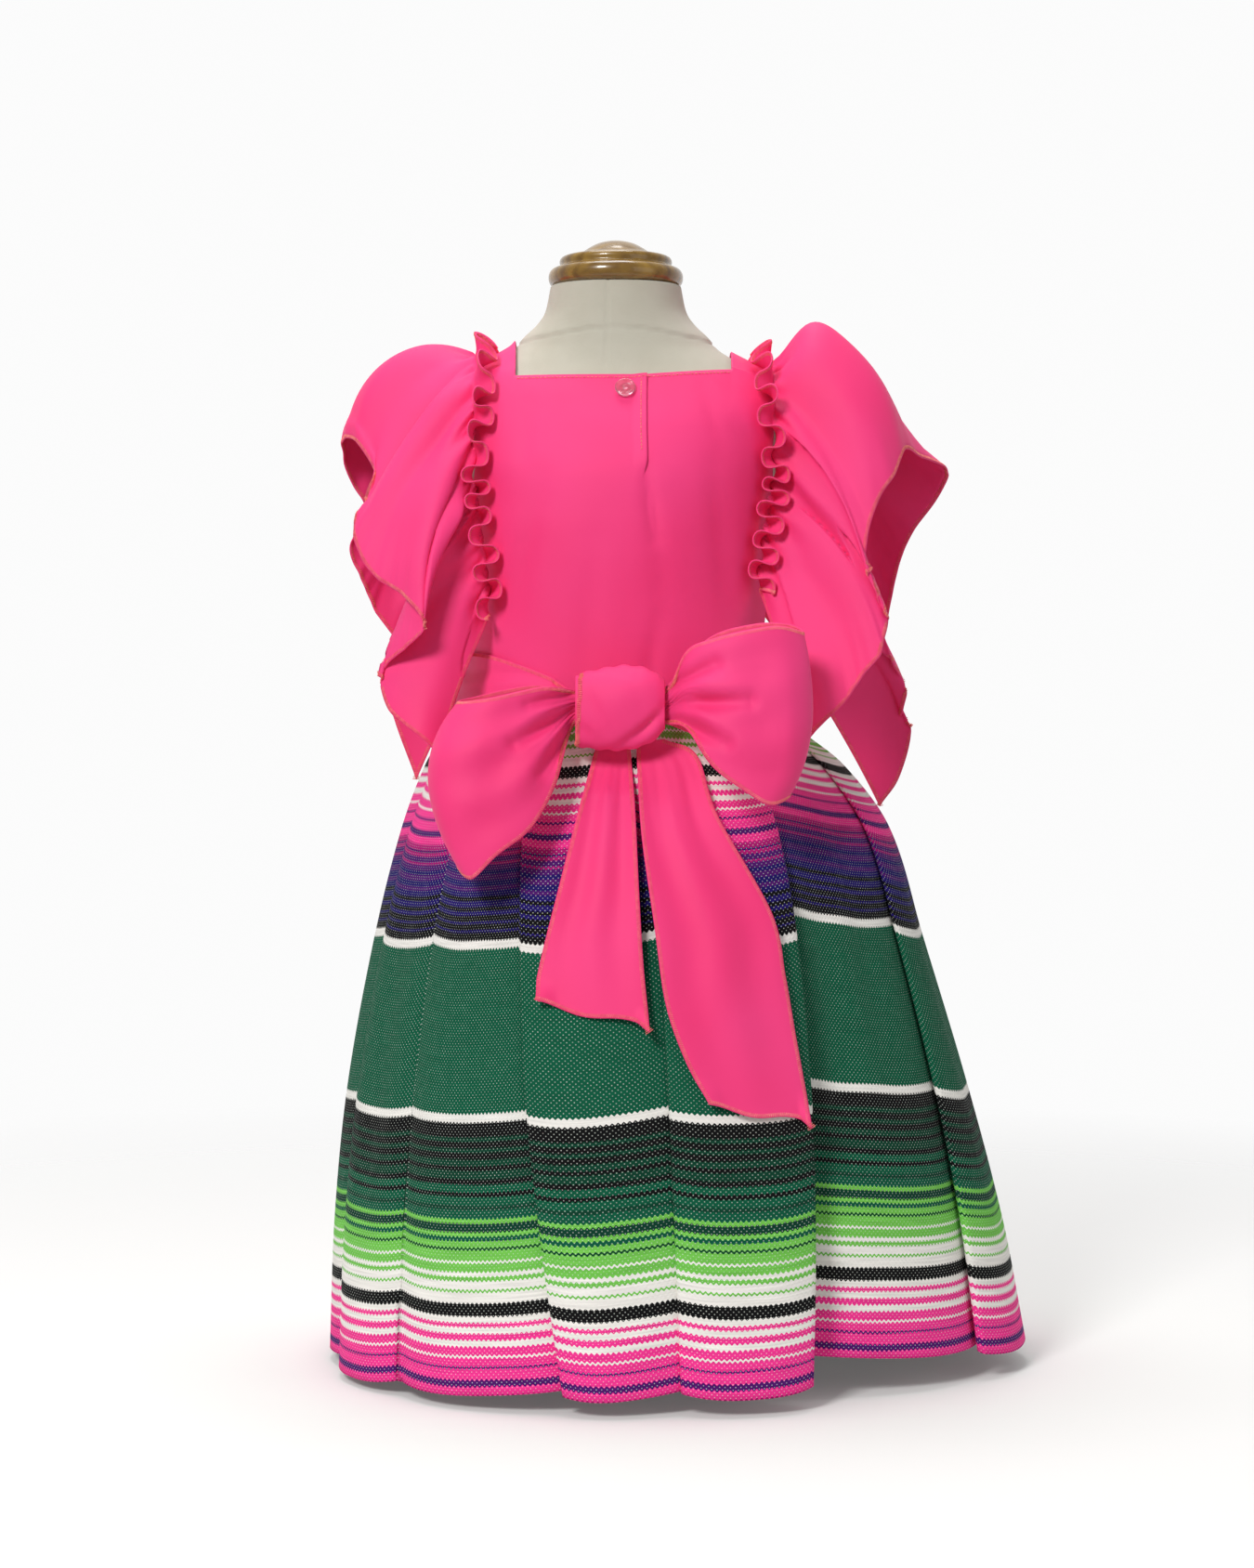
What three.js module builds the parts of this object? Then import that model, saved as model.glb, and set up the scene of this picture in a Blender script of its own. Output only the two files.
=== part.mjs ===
import * as THREE from 'three';

// A child's folklorico dress on a limbless dress form, turned with the dress's back to -Y.
// Millimetres, +Z up, origin in the middle of the underside of the stand's foot.

const wallThickness = 1.6;
const seamGap = 0.3;
const waistHeight = 420;
const hemHeight = 12;
const dressCentreX = 5;
const degree = Math.PI / 180;

// Sections of the padded form, bottom to top.
const formSections = [
  { z: 332, halfWidth: 62, halfDepth: 52 },
  { z: 342, halfWidth: 82, halfDepth: 71 },
  { z: 370, halfWidth: 89, halfDepth: 79 },
  { z: 420, halfWidth: 89, halfDepth: 79 },
  { z: 470, halfWidth: 92, halfDepth: 82 },
  { z: 520, halfWidth: 97, halfDepth: 86 },
  { z: 560, halfWidth: 103, halfDepth: 84 },
  { z: 590, halfWidth: 113, halfDepth: 73 },
  { z: 606, halfWidth: 116, halfDepth: 64 },
  { z: 620, halfWidth: 110, halfDepth: 55 },
  { z: 632, halfWidth: 90, halfDepth: 47 },
  { z: 644, halfWidth: 68, halfDepth: 42 },
  { z: 654, halfWidth: 58.5, halfDepth: 40 },
  { z: 661, halfWidth: 51, halfDepth: 39.2 },
  { z: 669, halfWidth: 45.8, halfDepth: 38.8 },
  { z: 686, halfWidth: 42, halfDepth: 38.5 },
];

// Smooth value of one column of a table at a place along another column.
function valueAt(table, key, place, alongKey) {
  const last = table.length - 1;
  let i = 0;
  while (i < last - 1 && place > table[i + 1][alongKey]) i += 1;
  const slope = (k) => {
    const low = Math.max(0, k - 1);
    const high = Math.min(last, k + 1);
    return (table[high][key] - table[low][key]) / (table[high][alongKey] - table[low][alongKey]);
  };
  const start = table[i];
  const end = table[i + 1];
  const span = end[alongKey] - start[alongKey];
  const t = THREE.MathUtils.clamp((place - start[alongKey]) / span, 0, 1);
  const t2 = t * t;
  const t3 = t2 * t;
  return (2 * t3 - 3 * t2 + 1) * start[key] + (t3 - 2 * t2 + t) * span * slope(i)
    + (3 * t2 - 2 * t3) * end[key] + (t3 - t2) * span * slope(i + 1);
}

// A closed wall of even thickness round a grid of middle points; skipped cells leave real holes.
function wall(grid, thickness, { closed = false, skip = () => false } = {}) {
  const columns = grid[0].length;
  const middle = grid.flat();
  const faces = [];
  for (let i = 0; i < grid.length - 1; i += 1) {
    for (let j = 0; j < (closed ? columns : columns - 1); j += 1) {
      if (skip(i, j)) continue;
      const next = (j + 1) % columns;
      const a = i * columns + j;
      const b = i * columns + next;
      const c = (i + 1) * columns + next;
      const d = (i + 1) * columns + j;
      faces.push([a, b, c], [a, c, d]);
    }
  }
  return thicken(middle, faces, thickness);
}

function thicken(middle, faces, thickness) {
  const normals = middle.map(() => new THREE.Vector3());
  const edge1 = new THREE.Vector3();
  const edge2 = new THREE.Vector3();
  for (const [a, b, c] of faces) {
    edge1.subVectors(middle[b], middle[a]);
    edge2.subVectors(middle[c], middle[a]);
    edge1.cross(edge2);
    for (const k of [a, b, c]) normals[k].add(edge1);
  }
  const count = middle.length;
  const points = [];
  for (const side of [0.5, -0.5]) {
    middle.forEach((point, k) => {
      points.push(point.clone().addScaledVector(normals[k].normalize(), side * thickness));
    });
  }
  const triangles = [];
  const directed = new Set();
  for (const [a, b, c] of faces) {
    triangles.push(a, b, c, a + count, c + count, b + count);
    directed.add(`${a},${b}`).add(`${b},${c}`).add(`${c},${a}`);
  }
  for (const key of directed) {
    const [from, to] = key.split(',').map(Number);
    if (directed.has(`${to},${from}`)) continue;
    triangles.push(to, from, from + count, to, from + count, to + count);
  }
  return solid(points, triangles);
}

function solid(points, triangles) {
  const geometry = new THREE.BufferGeometry();
  const places = points.flatMap((point) => [point.x, point.y, point.z]);
  geometry.setAttribute('position', new THREE.Float32BufferAttribute(places, 3));
  geometry.setIndex(triangles);
  geometry.computeVertexNormals();
  return geometry;
}

// A closed solid through rings of points, with flat ends.
function loft(rings) {
  const count = rings[0].length;
  const points = rings.flat();
  const triangles = [];
  for (let i = 0; i < rings.length - 1; i += 1) {
    for (let j = 0; j < count; j += 1) {
      const next = (j + 1) % count;
      const a = i * count + j;
      const b = i * count + next;
      triangles.push(a, b, b + count, a, b + count, a + count);
    }
  }
  [0, rings.length - 1].forEach((ring) => {
    const centre = new THREE.Vector3();
    rings[ring].forEach((point) => centre.addScaledVector(point, 1 / count));
    const hub = points.push(centre) - 1;
    for (let j = 0; j < count; j += 1) {
      const a = ring * count + j;
      const b = ring * count + (j + 1) % count;
      triangles.push(...(ring === 0 ? [hub, b, a] : [hub, a, b]));
    }
  });
  return solid(points, triangles);
}

function turned(profile, segments) {
  const geometry = new THREE.LatheGeometry(profile.map(([r, z]) => new THREE.Vector2(r, z)), segments);
  return geometry.rotateX(Math.PI / 2);
}

const dress = new THREE.Group();
dress.name = 'folklorico_dress_on_form';

function addPiece(name, geometry, material) {
  const mesh = new THREE.Mesh(geometry, new THREE.MeshStandardMaterial(material));
  mesh.name = name;
  dress.add(mesh);
  return mesh;
}

const pinkCloth = { color: 0xf0458c, roughness: 0.75, metalness: 0 };
const serapeCloth = { color: 0x2f8f62, roughness: 0.85, metalness: 0 };
const formCloth = { color: 0xcdcbbe, roughness: 0.9, metalness: 0 };
const varnishedWood = { color: 0xa5782d, roughness: 0.3, metalness: 0 };
const clearPlastic = { color: 0xe8e6e4, roughness: 0.15, metalness: 0 };
const standMetal = { color: 0x3a3733, roughness: 0.5, metalness: 0.6 };

// The form: one padded torso, a turned cap on its neck, a pole and a round foot inside the skirt.
const formRoundness = 2.2;
const formSegments = 36;
const footRadius = 115;
const footThickness = 14;
const poleRadius = 12;
const poleSegments = 20;
const capSegments = 26;
const formHeights = [332, 337, 345, 365, 420, 470, 520, 560, 582, 598, 610, 620, 628, 636, 644, 654,
  661, 669, 686];
// Radius and height of the turned cap and of the foot.
const capProfile = [[0, 0], [37, 0], [41.6, 1.5], [43.3, 5], [43, 8.4], [39.4, 11.8], [36, 13.4], [36.1, 16.6],
  [34, 19], [26, 20.2], [21.5, 22.2], [16, 26], [9, 28.8], [0, 29.8]];
const footProfile = [[0, 0], [footRadius - 3, 0], [footRadius, 3], [footRadius, 7], [footRadius - 5, 10],
  [40, footThickness], [0, footThickness]];

function formSize(z) {
  return {
    halfWidth: valueAt(formSections, 'halfWidth', z, 'z'),
    halfDepth: valueAt(formSections, 'halfDepth', z, 'z'),
  };
}

// Above 1 outside the form's surface, below 1 inside it.
function formLevel(point) {
  const { halfWidth, halfDepth } = formSize(point.z);
  return (Math.abs(point.x) / halfWidth) ** formRoundness + (Math.abs(point.y) / halfDepth) ** formRoundness;
}

// Distance from the axis to the form at a height; the angle runs from the dress's back to +X.
function formRadius(angle, z) {
  const { halfWidth, halfDepth } = formSize(z);
  const sum = (Math.abs(Math.sin(angle)) / halfWidth) ** formRoundness
    + (Math.abs(Math.cos(angle)) / halfDepth) ** formRoundness;
  return sum ** (-1 / formRoundness);
}

function around(angle, radius, z, axisX = 0) {
  return new THREE.Vector3(axisX + radius * Math.sin(angle), -radius * Math.cos(angle), z);
}

function makeForm() {
  const rings = formHeights.map((z) => {
    const ring = [];
    for (let k = 0; k < formSegments; k += 1) {
      const angle = (k / formSegments) * 2 * Math.PI;
      ring.push(around(angle, formRadius(angle, z), z));
    }
    return ring;
  });
  addPiece('form_torso', loft(rings), formCloth);
  const capBottom = formSections.at(-1).z + seamGap;
  addPiece('neck_cap', turned(capProfile, capSegments), varnishedWood).position.z = capBottom;
  const poleTop = formSections[0].z - seamGap;
  const poleBottom = footThickness + seamGap;
  const pole = new THREE.CylinderGeometry(poleRadius, poleRadius, poleTop - poleBottom, poleSegments);
  pole.rotateX(Math.PI / 2);
  addPiece('stand_pole', pole, standMetal).position.z = (poleTop + poleBottom) / 2;
  addPiece('stand_foot', turned(footProfile, formSegments), standMetal);
}

// A point on the form straight out from the body's cross axis: the turn is 0 degrees at the back,
// 90 on the shoulder and 180 in front. The cloth there lies a little off the form.
const crossAxisHeight = 560;
const clothOffset = 3.4;

function onBody(x, turn, offset) {
  const out = new THREE.Vector3(0, -Math.cos(turn), Math.sin(turn));
  const start = new THREE.Vector3(x, 0, crossAxisHeight);
  let near = 0;
  let far = 160;
  for (let step = 0; step < 30; step += 1) {
    const half = (near + far) / 2;
    if (formLevel(start.clone().addScaledVector(out, half)) < 1) near = half;
    else far = half;
  }
  const point = start.addScaledVector(out, near);
  return point.addScaledVector(formNormal(point), offset);
}

function formNormal(point) {
  const step = 0.5;
  const slope = new THREE.Vector3();
  for (const axis of ['x', 'y', 'z']) {
    const ahead = point.clone();
    const behind = point.clone();
    ahead[axis] += step;
    behind[axis] -= step;
    slope[axis] = formLevel(ahead) - formLevel(behind);
  }
  return slope.normalize();
}

// The skirt's outer surface, as distances from its axis at fractions of the way down to the hem.
const skirtAxisX = 3;
const skirtProfile = [
  { down: 0.00, left: 102, right: 97, back: 89, front: 89 },
  { down: 0.04, left: 113, right: 113, back: 95, front: 98 },
  { down: 0.10, left: 127, right: 144, back: 108, front: 114 },
  { down: 0.20, left: 142, right: 174, back: 131, front: 133 },
  { down: 0.37, left: 159, right: 195, back: 156, front: 151 },
  { down: 0.60, left: 176, right: 222, back: 177, front: 168 },
  { down: 0.80, left: 184, right: 242, back: 189, front: 180 },
  { down: 1.00, left: 187, right: 257, back: 197, front: 188 },
];

function skirtRadius(angle, down) {
  const side = valueAt(skirtProfile, Math.sin(angle) < 0 ? 'left' : 'right', down, 'down');
  const face = valueAt(skirtProfile, Math.cos(angle) > 0 ? 'back' : 'front', down, 'down');
  return 1 / Math.hypot(Math.sin(angle) / side, Math.cos(angle) / face);
}

// Pleats all round the skirt, from one side seam to the other: where each fold's edge lies at the
// waist and the hem, which panel is on top, how far the cloth turns back and how deep it steps.
const backPleats = [
  { waist: -72, hem: -70, over: 1, tuckWaist: 7, tuckHem: 14, stepWaist: 4.6, stepHem: 9 },
  { waist: -50, hem: -43, over: 1, tuckWaist: 9, tuckHem: 8, stepWaist: 4.6, stepHem: 6 },
  { waist: -31, hem: -10, over: 1, tuckWaist: 9, tuckHem: 24, stepWaist: 4.6, stepHem: 13 },
  { waist: 8, hem: 10.7, over: 1, tuckWaist: 11, tuckHem: 22, stepWaist: 4.6, stepHem: 12 },
  { waist: 44, hem: 33.6, over: -1, tuckWaist: 10, tuckHem: 26, stepWaist: 4.6, stepHem: 40 },
  { waist: 70, hem: 67, over: 1, tuckWaist: 8, tuckHem: 18, stepWaist: 4.6, stepHem: 12 },
];
const frontPleats = [
  { waist: 102, hem: 103, over: 1, tuckWaist: 8, tuckHem: 20, stepWaist: 4.6, stepHem: 13 },
  { waist: 126, hem: 124, over: 1, tuckWaist: 9, tuckHem: 22, stepWaist: 4.6, stepHem: 15 },
  { waist: 148, hem: 146, over: 1, tuckWaist: 9, tuckHem: 20, stepWaist: 4.6, stepHem: 11 },
  { waist: 169, hem: 168, over: 1, tuckWaist: 9, tuckHem: 24, stepWaist: 4.6, stepHem: 14 },
  { waist: 191, hem: 192, over: -1, tuckWaist: 9, tuckHem: 24, stepWaist: 4.6, stepHem: 14 },
  { waist: 212, hem: 215, over: -1, tuckWaist: 9, tuckHem: 20, stepWaist: 4.6, stepHem: 12 },
  { waist: 234, hem: 237, over: -1, tuckWaist: 9, tuckHem: 20, stepWaist: 4.6, stepHem: 15 },
  { waist: 256, hem: 257, over: -1, tuckWaist: 8, tuckHem: 18, stepWaist: 4.6, stepHem: 12 },
];
const skirtRows = [0, 0.05, 0.12, 0.24, 0.44, 0.7, 1];
const panelSteps = 3;
const panelBulge = 3;
const hemTilt = 4.5;
const foldLift = 0.4;
const seamDepthWaist = 2.3;
const seamDepthHem = 5;
const bendWaist = 1.2;
const bendHem = 2.5;

// One level of one half of the skirt: the angle and the depth below the outer surface of each point.
function pleatLine(pleats, startAngle, endAngle, down) {
  const line = [];
  const seamDepth = THREE.MathUtils.lerp(seamDepthWaist, seamDepthHem, down);
  const bend = THREE.MathUtils.lerp(bendWaist, bendHem, down);
  const radius = skirtRadius(startAngle, down);
  line.push({ angle: startAngle + (seamGap / 2) / radius, depth: seamDepth });
  for (const pleat of pleats) {
    const edge = THREE.MathUtils.lerp(pleat.waist, pleat.hem, down) * degree;
    const size = skirtRadius(edge, down);
    const tuck = THREE.MathUtils.lerp(pleat.tuckWaist, pleat.tuckHem, down) / size;
    const step = THREE.MathUtils.lerp(pleat.stepWaist, pleat.stepHem, down ** 1.3);
    const turn = bend / size;
    const fold = [
      { angle: edge + pleat.over * turn, depth: 0 },
      { angle: edge, depth: step / 4 },
      { angle: edge + pleat.over * turn, depth: step / 2 },
      { angle: edge + pleat.over * (tuck - turn), depth: step / 2 },
      { angle: edge + pleat.over * tuck, depth: step * 0.75 },
      { angle: edge + pleat.over * (tuck - turn), depth: step },
    ];
    if (pleat.over > 0) fold.reverse();
    addPanel(line, fold[0], down);
    line.push(...fold);
  }
  const last = skirtRadius(endAngle, down);
  const end = { angle: endAngle - (seamGap / 2) / last, depth: seamDepth };
  addPanel(line, end, down);
  line.push(end);
  return line;
}

// The free stretch of a panel between two folds, a little full in its middle.
function addPanel(line, end, down) {
  const start = line.at(-1);
  for (let k = 1; k < panelSteps; k += 1) {
    const part = k / panelSteps;
    const ease = part * part * (3 - 2 * part);
    const bulge = panelBulge * down * Math.sin(part * Math.PI);
    line.push({
      angle: THREE.MathUtils.lerp(start.angle, end.angle, part),
      depth: THREE.MathUtils.lerp(start.depth, end.depth, ease) - bulge,
    });
  }
}

function skirtPoint({ angle, depth }, down) {
  const hem = hemHeight + hemTilt * Math.sin(angle) + foldLift * depth;
  const top = waistHeight - seamGap;
  return around(angle, skirtRadius(angle, down) - depth, THREE.MathUtils.lerp(top, hem, down), skirtAxisX);
}

function makeSkirt() {
  const halves = [
    { name: 'skirt_back', pleats: backPleats, from: -90, to: 90 },
    { name: 'skirt_front', pleats: frontPleats, from: 90, to: 270 },
  ];
  for (const { name, pleats, from, to } of halves) {
    const grid = skirtRows.map((down) => {
      const line = pleatLine(pleats, from * degree, to * degree, down);
      return line.map((point) => skirtPoint(point, down));
    }).reverse();
    addPiece(name, wall(grid, wallThickness), serapeCloth);
  }
}

// The bodice: the cut's rows from the waist up, with the half width where the armhole trims it.
const neckHalfWidth = 67;
const strapHalfWidth = 94;
const necklineHeight = 624;
const necklineRise = 6;
const slitX = 17;
const slitWidth = 1.4;
const strapPlaces = [1, 0.93, 0.85, neckHalfWidth / strapHalfWidth];
const innerPlaces = [0.52, 0.35, 0.18];
const rightOfSlit = [0.32, 0.52];
const lowerRows = [
  { z: waistHeight + seamGap, reach: 90 },
  { z: 446, reach: 90 },
  { z: 474, reach: 90 },
  { z: 500, reach: 90 },
  { z: 514, reach: 83 },
  { z: 534, reach: 72 },
];
const upperRows = [
  { turn: 0, halfWidth: 91 },
  { turn: 20, halfWidth: 91 },
  { turn: 36, halfWidth: 92 },
  { turn: 0, halfWidth: strapHalfWidth, atNeckline: true },
  { turn: 62, halfWidth: strapHalfWidth },
  { turn: 71, halfWidth: strapHalfWidth },
  { turn: 80, halfWidth: strapHalfWidth },
  { turn: 89.7, halfWidth: strapHalfWidth },
];

// Turn from the cross axis that reaches a height on the back at one x.
function turnForHeight(x, height) {
  let low = -60 * degree;
  let high = 88 * degree;
  for (let step = 0; step < 24; step += 1) {
    const half = (low + high) / 2;
    if (onBody(x, half, clothOffset).z < height) low = half;
    else high = half;
  }
  return low;
}

function bodiceGrid(columns, front) {
  const sideGap = (seamGap / 2) / formSections[3].halfWidth;
  const rows = lowerRows.map(({ z, reach }) => columns.map((place) => {
    const angle = place * (reach * degree - sideGap);
    const point = around(angle, formRadius(angle, z), z);
    return point.addScaledVector(formNormal(point), clothOffset);
  }));
  for (const { turn, halfWidth, atNeckline } of upperRows) {
    rows.push(columns.map((place) => {
      const x = dressCentreX + place * halfWidth;
      if (!atNeckline) return onBody(x, turn * degree, clothOffset);
      const edge = THREE.MathUtils.clamp(x, dressCentreX - neckHalfWidth, dressCentreX + neckHalfWidth);
      const rise = Math.max(0, (edge - slitX) / neckHalfWidth) * necklineRise;
      return onBody(x, turnForHeight(edge, necklineHeight + rise), clothOffset);
    }));
  }
  if (front) rows.forEach((row) => row.forEach((point) => { point.y = -point.y; }));
  return rows;
}

function makeBodice() {
  const slit = (slitX - dressCentreX) / strapHalfWidth;
  const leftPlaces = [...strapPlaces, ...innerPlaces].map((place) => -place);
  const slitSides = [slit, slit + slitWidth / strapHalfWidth];
  const backPlaces = [...leftPlaces, 0, ...slitSides, ...rightOfSlit, ...strapPlaces.toReversed()];
  const frontPlaces = [...leftPlaces, 0, ...innerPlaces.toReversed(), ...strapPlaces.toReversed()];
  const necklineRow = lowerRows.length + upperRows.findIndex((row) => row.atNeckline);
  const slitRow = lowerRows.length;
  const slitColumn = backPlaces.indexOf(slit);
  const strapCells = strapPlaces.length - 1;
  const openNeck = (places) => {
    const last = places.length - 1 - strapCells;
    return (i, j) => i >= necklineRow && j >= strapCells && j < last;
  };
  const backOpen = openNeck(backPlaces);
  const inSlit = (i, j) => i >= slitRow && i < necklineRow && j === slitColumn;
  const open = (i, j) => backOpen(i, j) || inSlit(i, j);
  addPiece('bodice_back', wall(bodiceGrid(backPlaces, false), wallThickness, { skip: open }), pinkCloth);
  const front = bodiceGrid(frontPlaces, true);
  addPiece('bodice_front', wall(front, wallThickness, { skip: openNeck(frontPlaces) }), pinkCloth);
}

// The flounces: the gathering seam on the bodice, from the lower back over the shoulder to the front.
const flounceWidth = 106;
const shoulderSlack = { along: 0.5, wide: 0.12, extra: 24 };
const leastSlack = 1.02;
const archGuesses = 14;
const endFlatness = { from: -0.08, to: 0.14 };
const foldSpread = { seam: 0.75, edge: 1.25 };
const foldFade = { full: 0.3, edge: 0.45 };
const headingWidth = 16;
const headingLean = 45;
const headingSwing = 20;
const gathers = 18;
const gatherDepth = 2.2;
const gatherSeat = 2.1;
const gatherReach = 0.4;
const mainWaves = 5;
const mainWaveDepth = 4;
const flounceHub = new THREE.Vector3(dressCentreX, 0, 470);
const seamEndTurn = -58;
const gatherSeam = [
  { turn: -58, reach: 78 },
  { turn: -30, reach: 84 },
  { turn: 0, reach: 88 },
  { turn: 40, reach: 90 },
  { turn: 90, reach: 91.5 },
];

// Where the free edge of each flounce hangs, at fractions of the way along the gathering seam, and
// how far from the seam the cloth bulges most.
const leftEdge = [
  { along: 0, x: -107, y: -104, z: 385, lean: 0.5 },
  { along: 0.04, x: -121, y: -104, z: 398, lean: 0.5 },
  { along: 0.08, x: -140, y: -95, z: 414, lean: 0.5 },
  { along: 0.12, x: -147, y: -86, z: 429, lean: 0.5 },
  { along: 0.16, x: -142, y: -86, z: 441, lean: 0.5 },
  { along: 0.2, x: -126, y: -98, z: 452, lean: 0.5 },
  { along: 0.235, x: -118, y: -107, z: 462, lean: 0.5 },
  { along: 0.265, x: -120, y: -103, z: 473, lean: 0.5 },
  { along: 0.3, x: -132, y: -92, z: 485, lean: 0.5 },
  { along: 0.34, x: -149, y: -80, z: 496, lean: 0.5 },
  { along: 0.375, x: -158, y: -70, z: 511, lean: 0.45 },
  { along: 0.41, x: -162, y: -60, z: 530, lean: 0.4 },
  { along: 0.44, x: -158, y: -52, z: 545, lean: 0.38 },
  { along: 0.47, x: -157, y: -42, z: 565, lean: 0.36 },
  { along: 0.5, x: -166, y: -26, z: 585, lean: 0.34 },
  { along: 0.54, x: -173, y: 0, z: 586, lean: 0.34 },
  { along: 0.58, x: -172, y: 18, z: 568, lean: 0.38 },
  { along: 0.62, x: -166, y: 32, z: 550, lean: 0.42 },
  { along: 0.66, x: -174, y: 40, z: 534, lean: 0.45 },
  { along: 0.7, x: -177, y: 46, z: 520, lean: 0.5 },
  { along: 0.75, x: -170, y: 52, z: 503, lean: 0.5 },
  { along: 0.8, x: -158, y: 58, z: 480, lean: 0.5 },
  { along: 0.85, x: -146, y: 62, z: 458, lean: 0.5 },
  { along: 0.9, x: -158, y: 70, z: 440, lean: 0.5 },
  { along: 0.95, x: -149, y: 74, z: 409, lean: 0.5 },
  { along: 1, x: -134, y: 72, z: 368, lean: 0.5 },
];
const rightEdge = [
  { along: 0, x: 116, y: -100, z: 392, lean: 0.5 },
  { along: 0.05, x: 129, y: -100, z: 407, lean: 0.5 },
  { along: 0.09, x: 140, y: -98, z: 418, lean: 0.5 },
  { along: 0.14, x: 153, y: -94, z: 436, lean: 0.5 },
  { along: 0.18, x: 163, y: -91, z: 447, lean: 0.45 },
  { along: 0.215, x: 166, y: -89, z: 458, lean: 0.42 },
  { along: 0.245, x: 168, y: -87, z: 471, lean: 0.4 },
  { along: 0.28, x: 163, y: -87, z: 484, lean: 0.36 },
  { along: 0.31, x: 157, y: -85, z: 501, lean: 0.34 },
  { along: 0.345, x: 156, y: -79, z: 518, lean: 0.32 },
  { along: 0.38, x: 162, y: -70, z: 543, lean: 0.3 },
  { along: 0.42, x: 172, y: -60, z: 560, lean: 0.26 },
  { along: 0.455, x: 182, y: -44, z: 578, lean: 0.22 },
  { along: 0.5, x: 200, y: -18, z: 577, lean: 0.2 },
  { along: 0.54, x: 213, y: 6, z: 574, lean: 0.2 },
  { along: 0.58, x: 216, y: 22, z: 566, lean: 0.24 },
  { along: 0.62, x: 208, y: 34, z: 550, lean: 0.3 },
  { along: 0.66, x: 197, y: 42, z: 533, lean: 0.36 },
  { along: 0.7, x: 188, y: 50, z: 510, lean: 0.42 },
  { along: 0.745, x: 181, y: 58, z: 476, lean: 0.5 },
  { along: 0.78, x: 178, y: 64, z: 455, lean: 0.5 },
  { along: 0.82, x: 182, y: 69, z: 445, lean: 0.5 },
  { along: 0.87, x: 195, y: 74, z: 429, lean: 0.5 },
  { along: 0.9, x: 193, y: 76, z: 414, lean: 0.5 },
  { along: 0.93, x: 198, y: 78, z: 399, lean: 0.5 },
  { along: 0.965, x: 190, y: 78, z: 369, lean: 0.5 },
  { along: 1, x: 177, y: 76, z: 350, lean: 0.5 },
];

// The largest folds of each flounce: where each starts on the seam and ends at the free edge, its
// half width along the cloth, and its height out of the cloth, below zero for a trough.
const leftFolds = [
  { seam: 0.06, edge: 0.04, wide: 0.022, high: 3 },
  { seam: 0.11, edge: 0.095, wide: 0.018, high: -4.5 },
  { seam: 0.165, edge: 0.19, wide: 0.024, high: 5 },
  { seam: 0.212, edge: 0.24, wide: 0.021, high: -12 },
  { seam: 0.262, edge: 0.3, wide: 0.028, high: 6 },
  { seam: 0.318, edge: 0.35, wide: 0.018, high: -4 },
  { seam: 0.366, edge: 0.41, wide: 0.024, high: 4.5 },
  { seam: 0.415, edge: 0.455, wide: 0.018, high: -5 },
  { seam: 0.46, edge: 0.5, wide: 0.022, high: 4 },
  { seam: 0.52, edge: 0.545, wide: 0.02, high: -4.5 },
  { seam: 0.58, edge: 0.6, wide: 0.026, high: 5 },
  { seam: 0.635, edge: 0.64, wide: 0.018, high: -6 },
  { seam: 0.69, edge: 0.7, wide: 0.026, high: 5 },
  { seam: 0.745, edge: 0.75, wide: 0.02, high: -5.5 },
  { seam: 0.8, edge: 0.79, wide: 0.024, high: 4.5 },
  { seam: 0.85, edge: 0.85, wide: 0.02, high: -7 },
  { seam: 0.905, edge: 0.905, wide: 0.024, high: 4.5 },
  { seam: 0.95, edge: 0.955, wide: 0.016, high: -3.5 },
];
const rightFolds = [
  { seam: 0.05, edge: 0.04, wide: 0.02, high: 3 },
  { seam: 0.095, edge: 0.1, wide: 0.017, high: -4 },
  { seam: 0.14, edge: 0.17, wide: 0.024, high: 5 },
  { seam: 0.185, edge: 0.225, wide: 0.018, high: -4 },
  { seam: 0.232, edge: 0.262, wide: 0.024, high: 6 },
  { seam: 0.272, edge: 0.322, wide: 0.02, high: -10 },
  { seam: 0.32, edge: 0.375, wide: 0.024, high: 5.5 },
  { seam: 0.365, edge: 0.425, wide: 0.016, high: -3.5 },
  { seam: 0.41, edge: 0.465, wide: 0.022, high: 4 },
  { seam: 0.448, edge: 0.5, wide: 0.014, high: -3.5 },
  { seam: 0.495, edge: 0.53, wide: 0.022, high: 4 },
  { seam: 0.545, edge: 0.57, wide: 0.018, high: -4 },
  { seam: 0.6, edge: 0.62, wide: 0.024, high: 5 },
  { seam: 0.65, edge: 0.665, wide: 0.018, high: -5 },
  { seam: 0.705, edge: 0.715, wide: 0.024, high: 5 },
  { seam: 0.76, edge: 0.78, wide: 0.02, high: -8 },
  { seam: 0.815, edge: 0.83, wide: 0.024, high: 5 },
  { seam: 0.865, edge: 0.9, wide: 0.018, high: -4 },
  { seam: 0.91, edge: 0.93, wide: 0.022, high: 4.5 },
  { seam: 0.955, edge: 0.962, wide: 0.016, high: -3 },
];

// The gathering seam as a curve just off the bodice.
function gatherCurve(side) {
  const offset = clothOffset + wallThickness + gatherSeat;
  const points = [];
  for (let turn = seamEndTurn; turn <= 180 - seamEndTurn; turn += 4) {
    const mirrored = Math.min(turn, 180 - turn);
    const x = dressCentreX + side * valueAt(gatherSeam, 'reach', mirrored, 'turn');
    points.push(onBody(x, turn * degree, offset));
  }
  return new THREE.CatmullRomCurve3(points);
}

function archPoint(start, top, end, share) {
  const point = start.clone().multiplyScalar((1 - share) ** 2);
  return point.addScaledVector(top, 2 * share * (1 - share)).addScaledVector(end, share ** 2);
}

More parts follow.
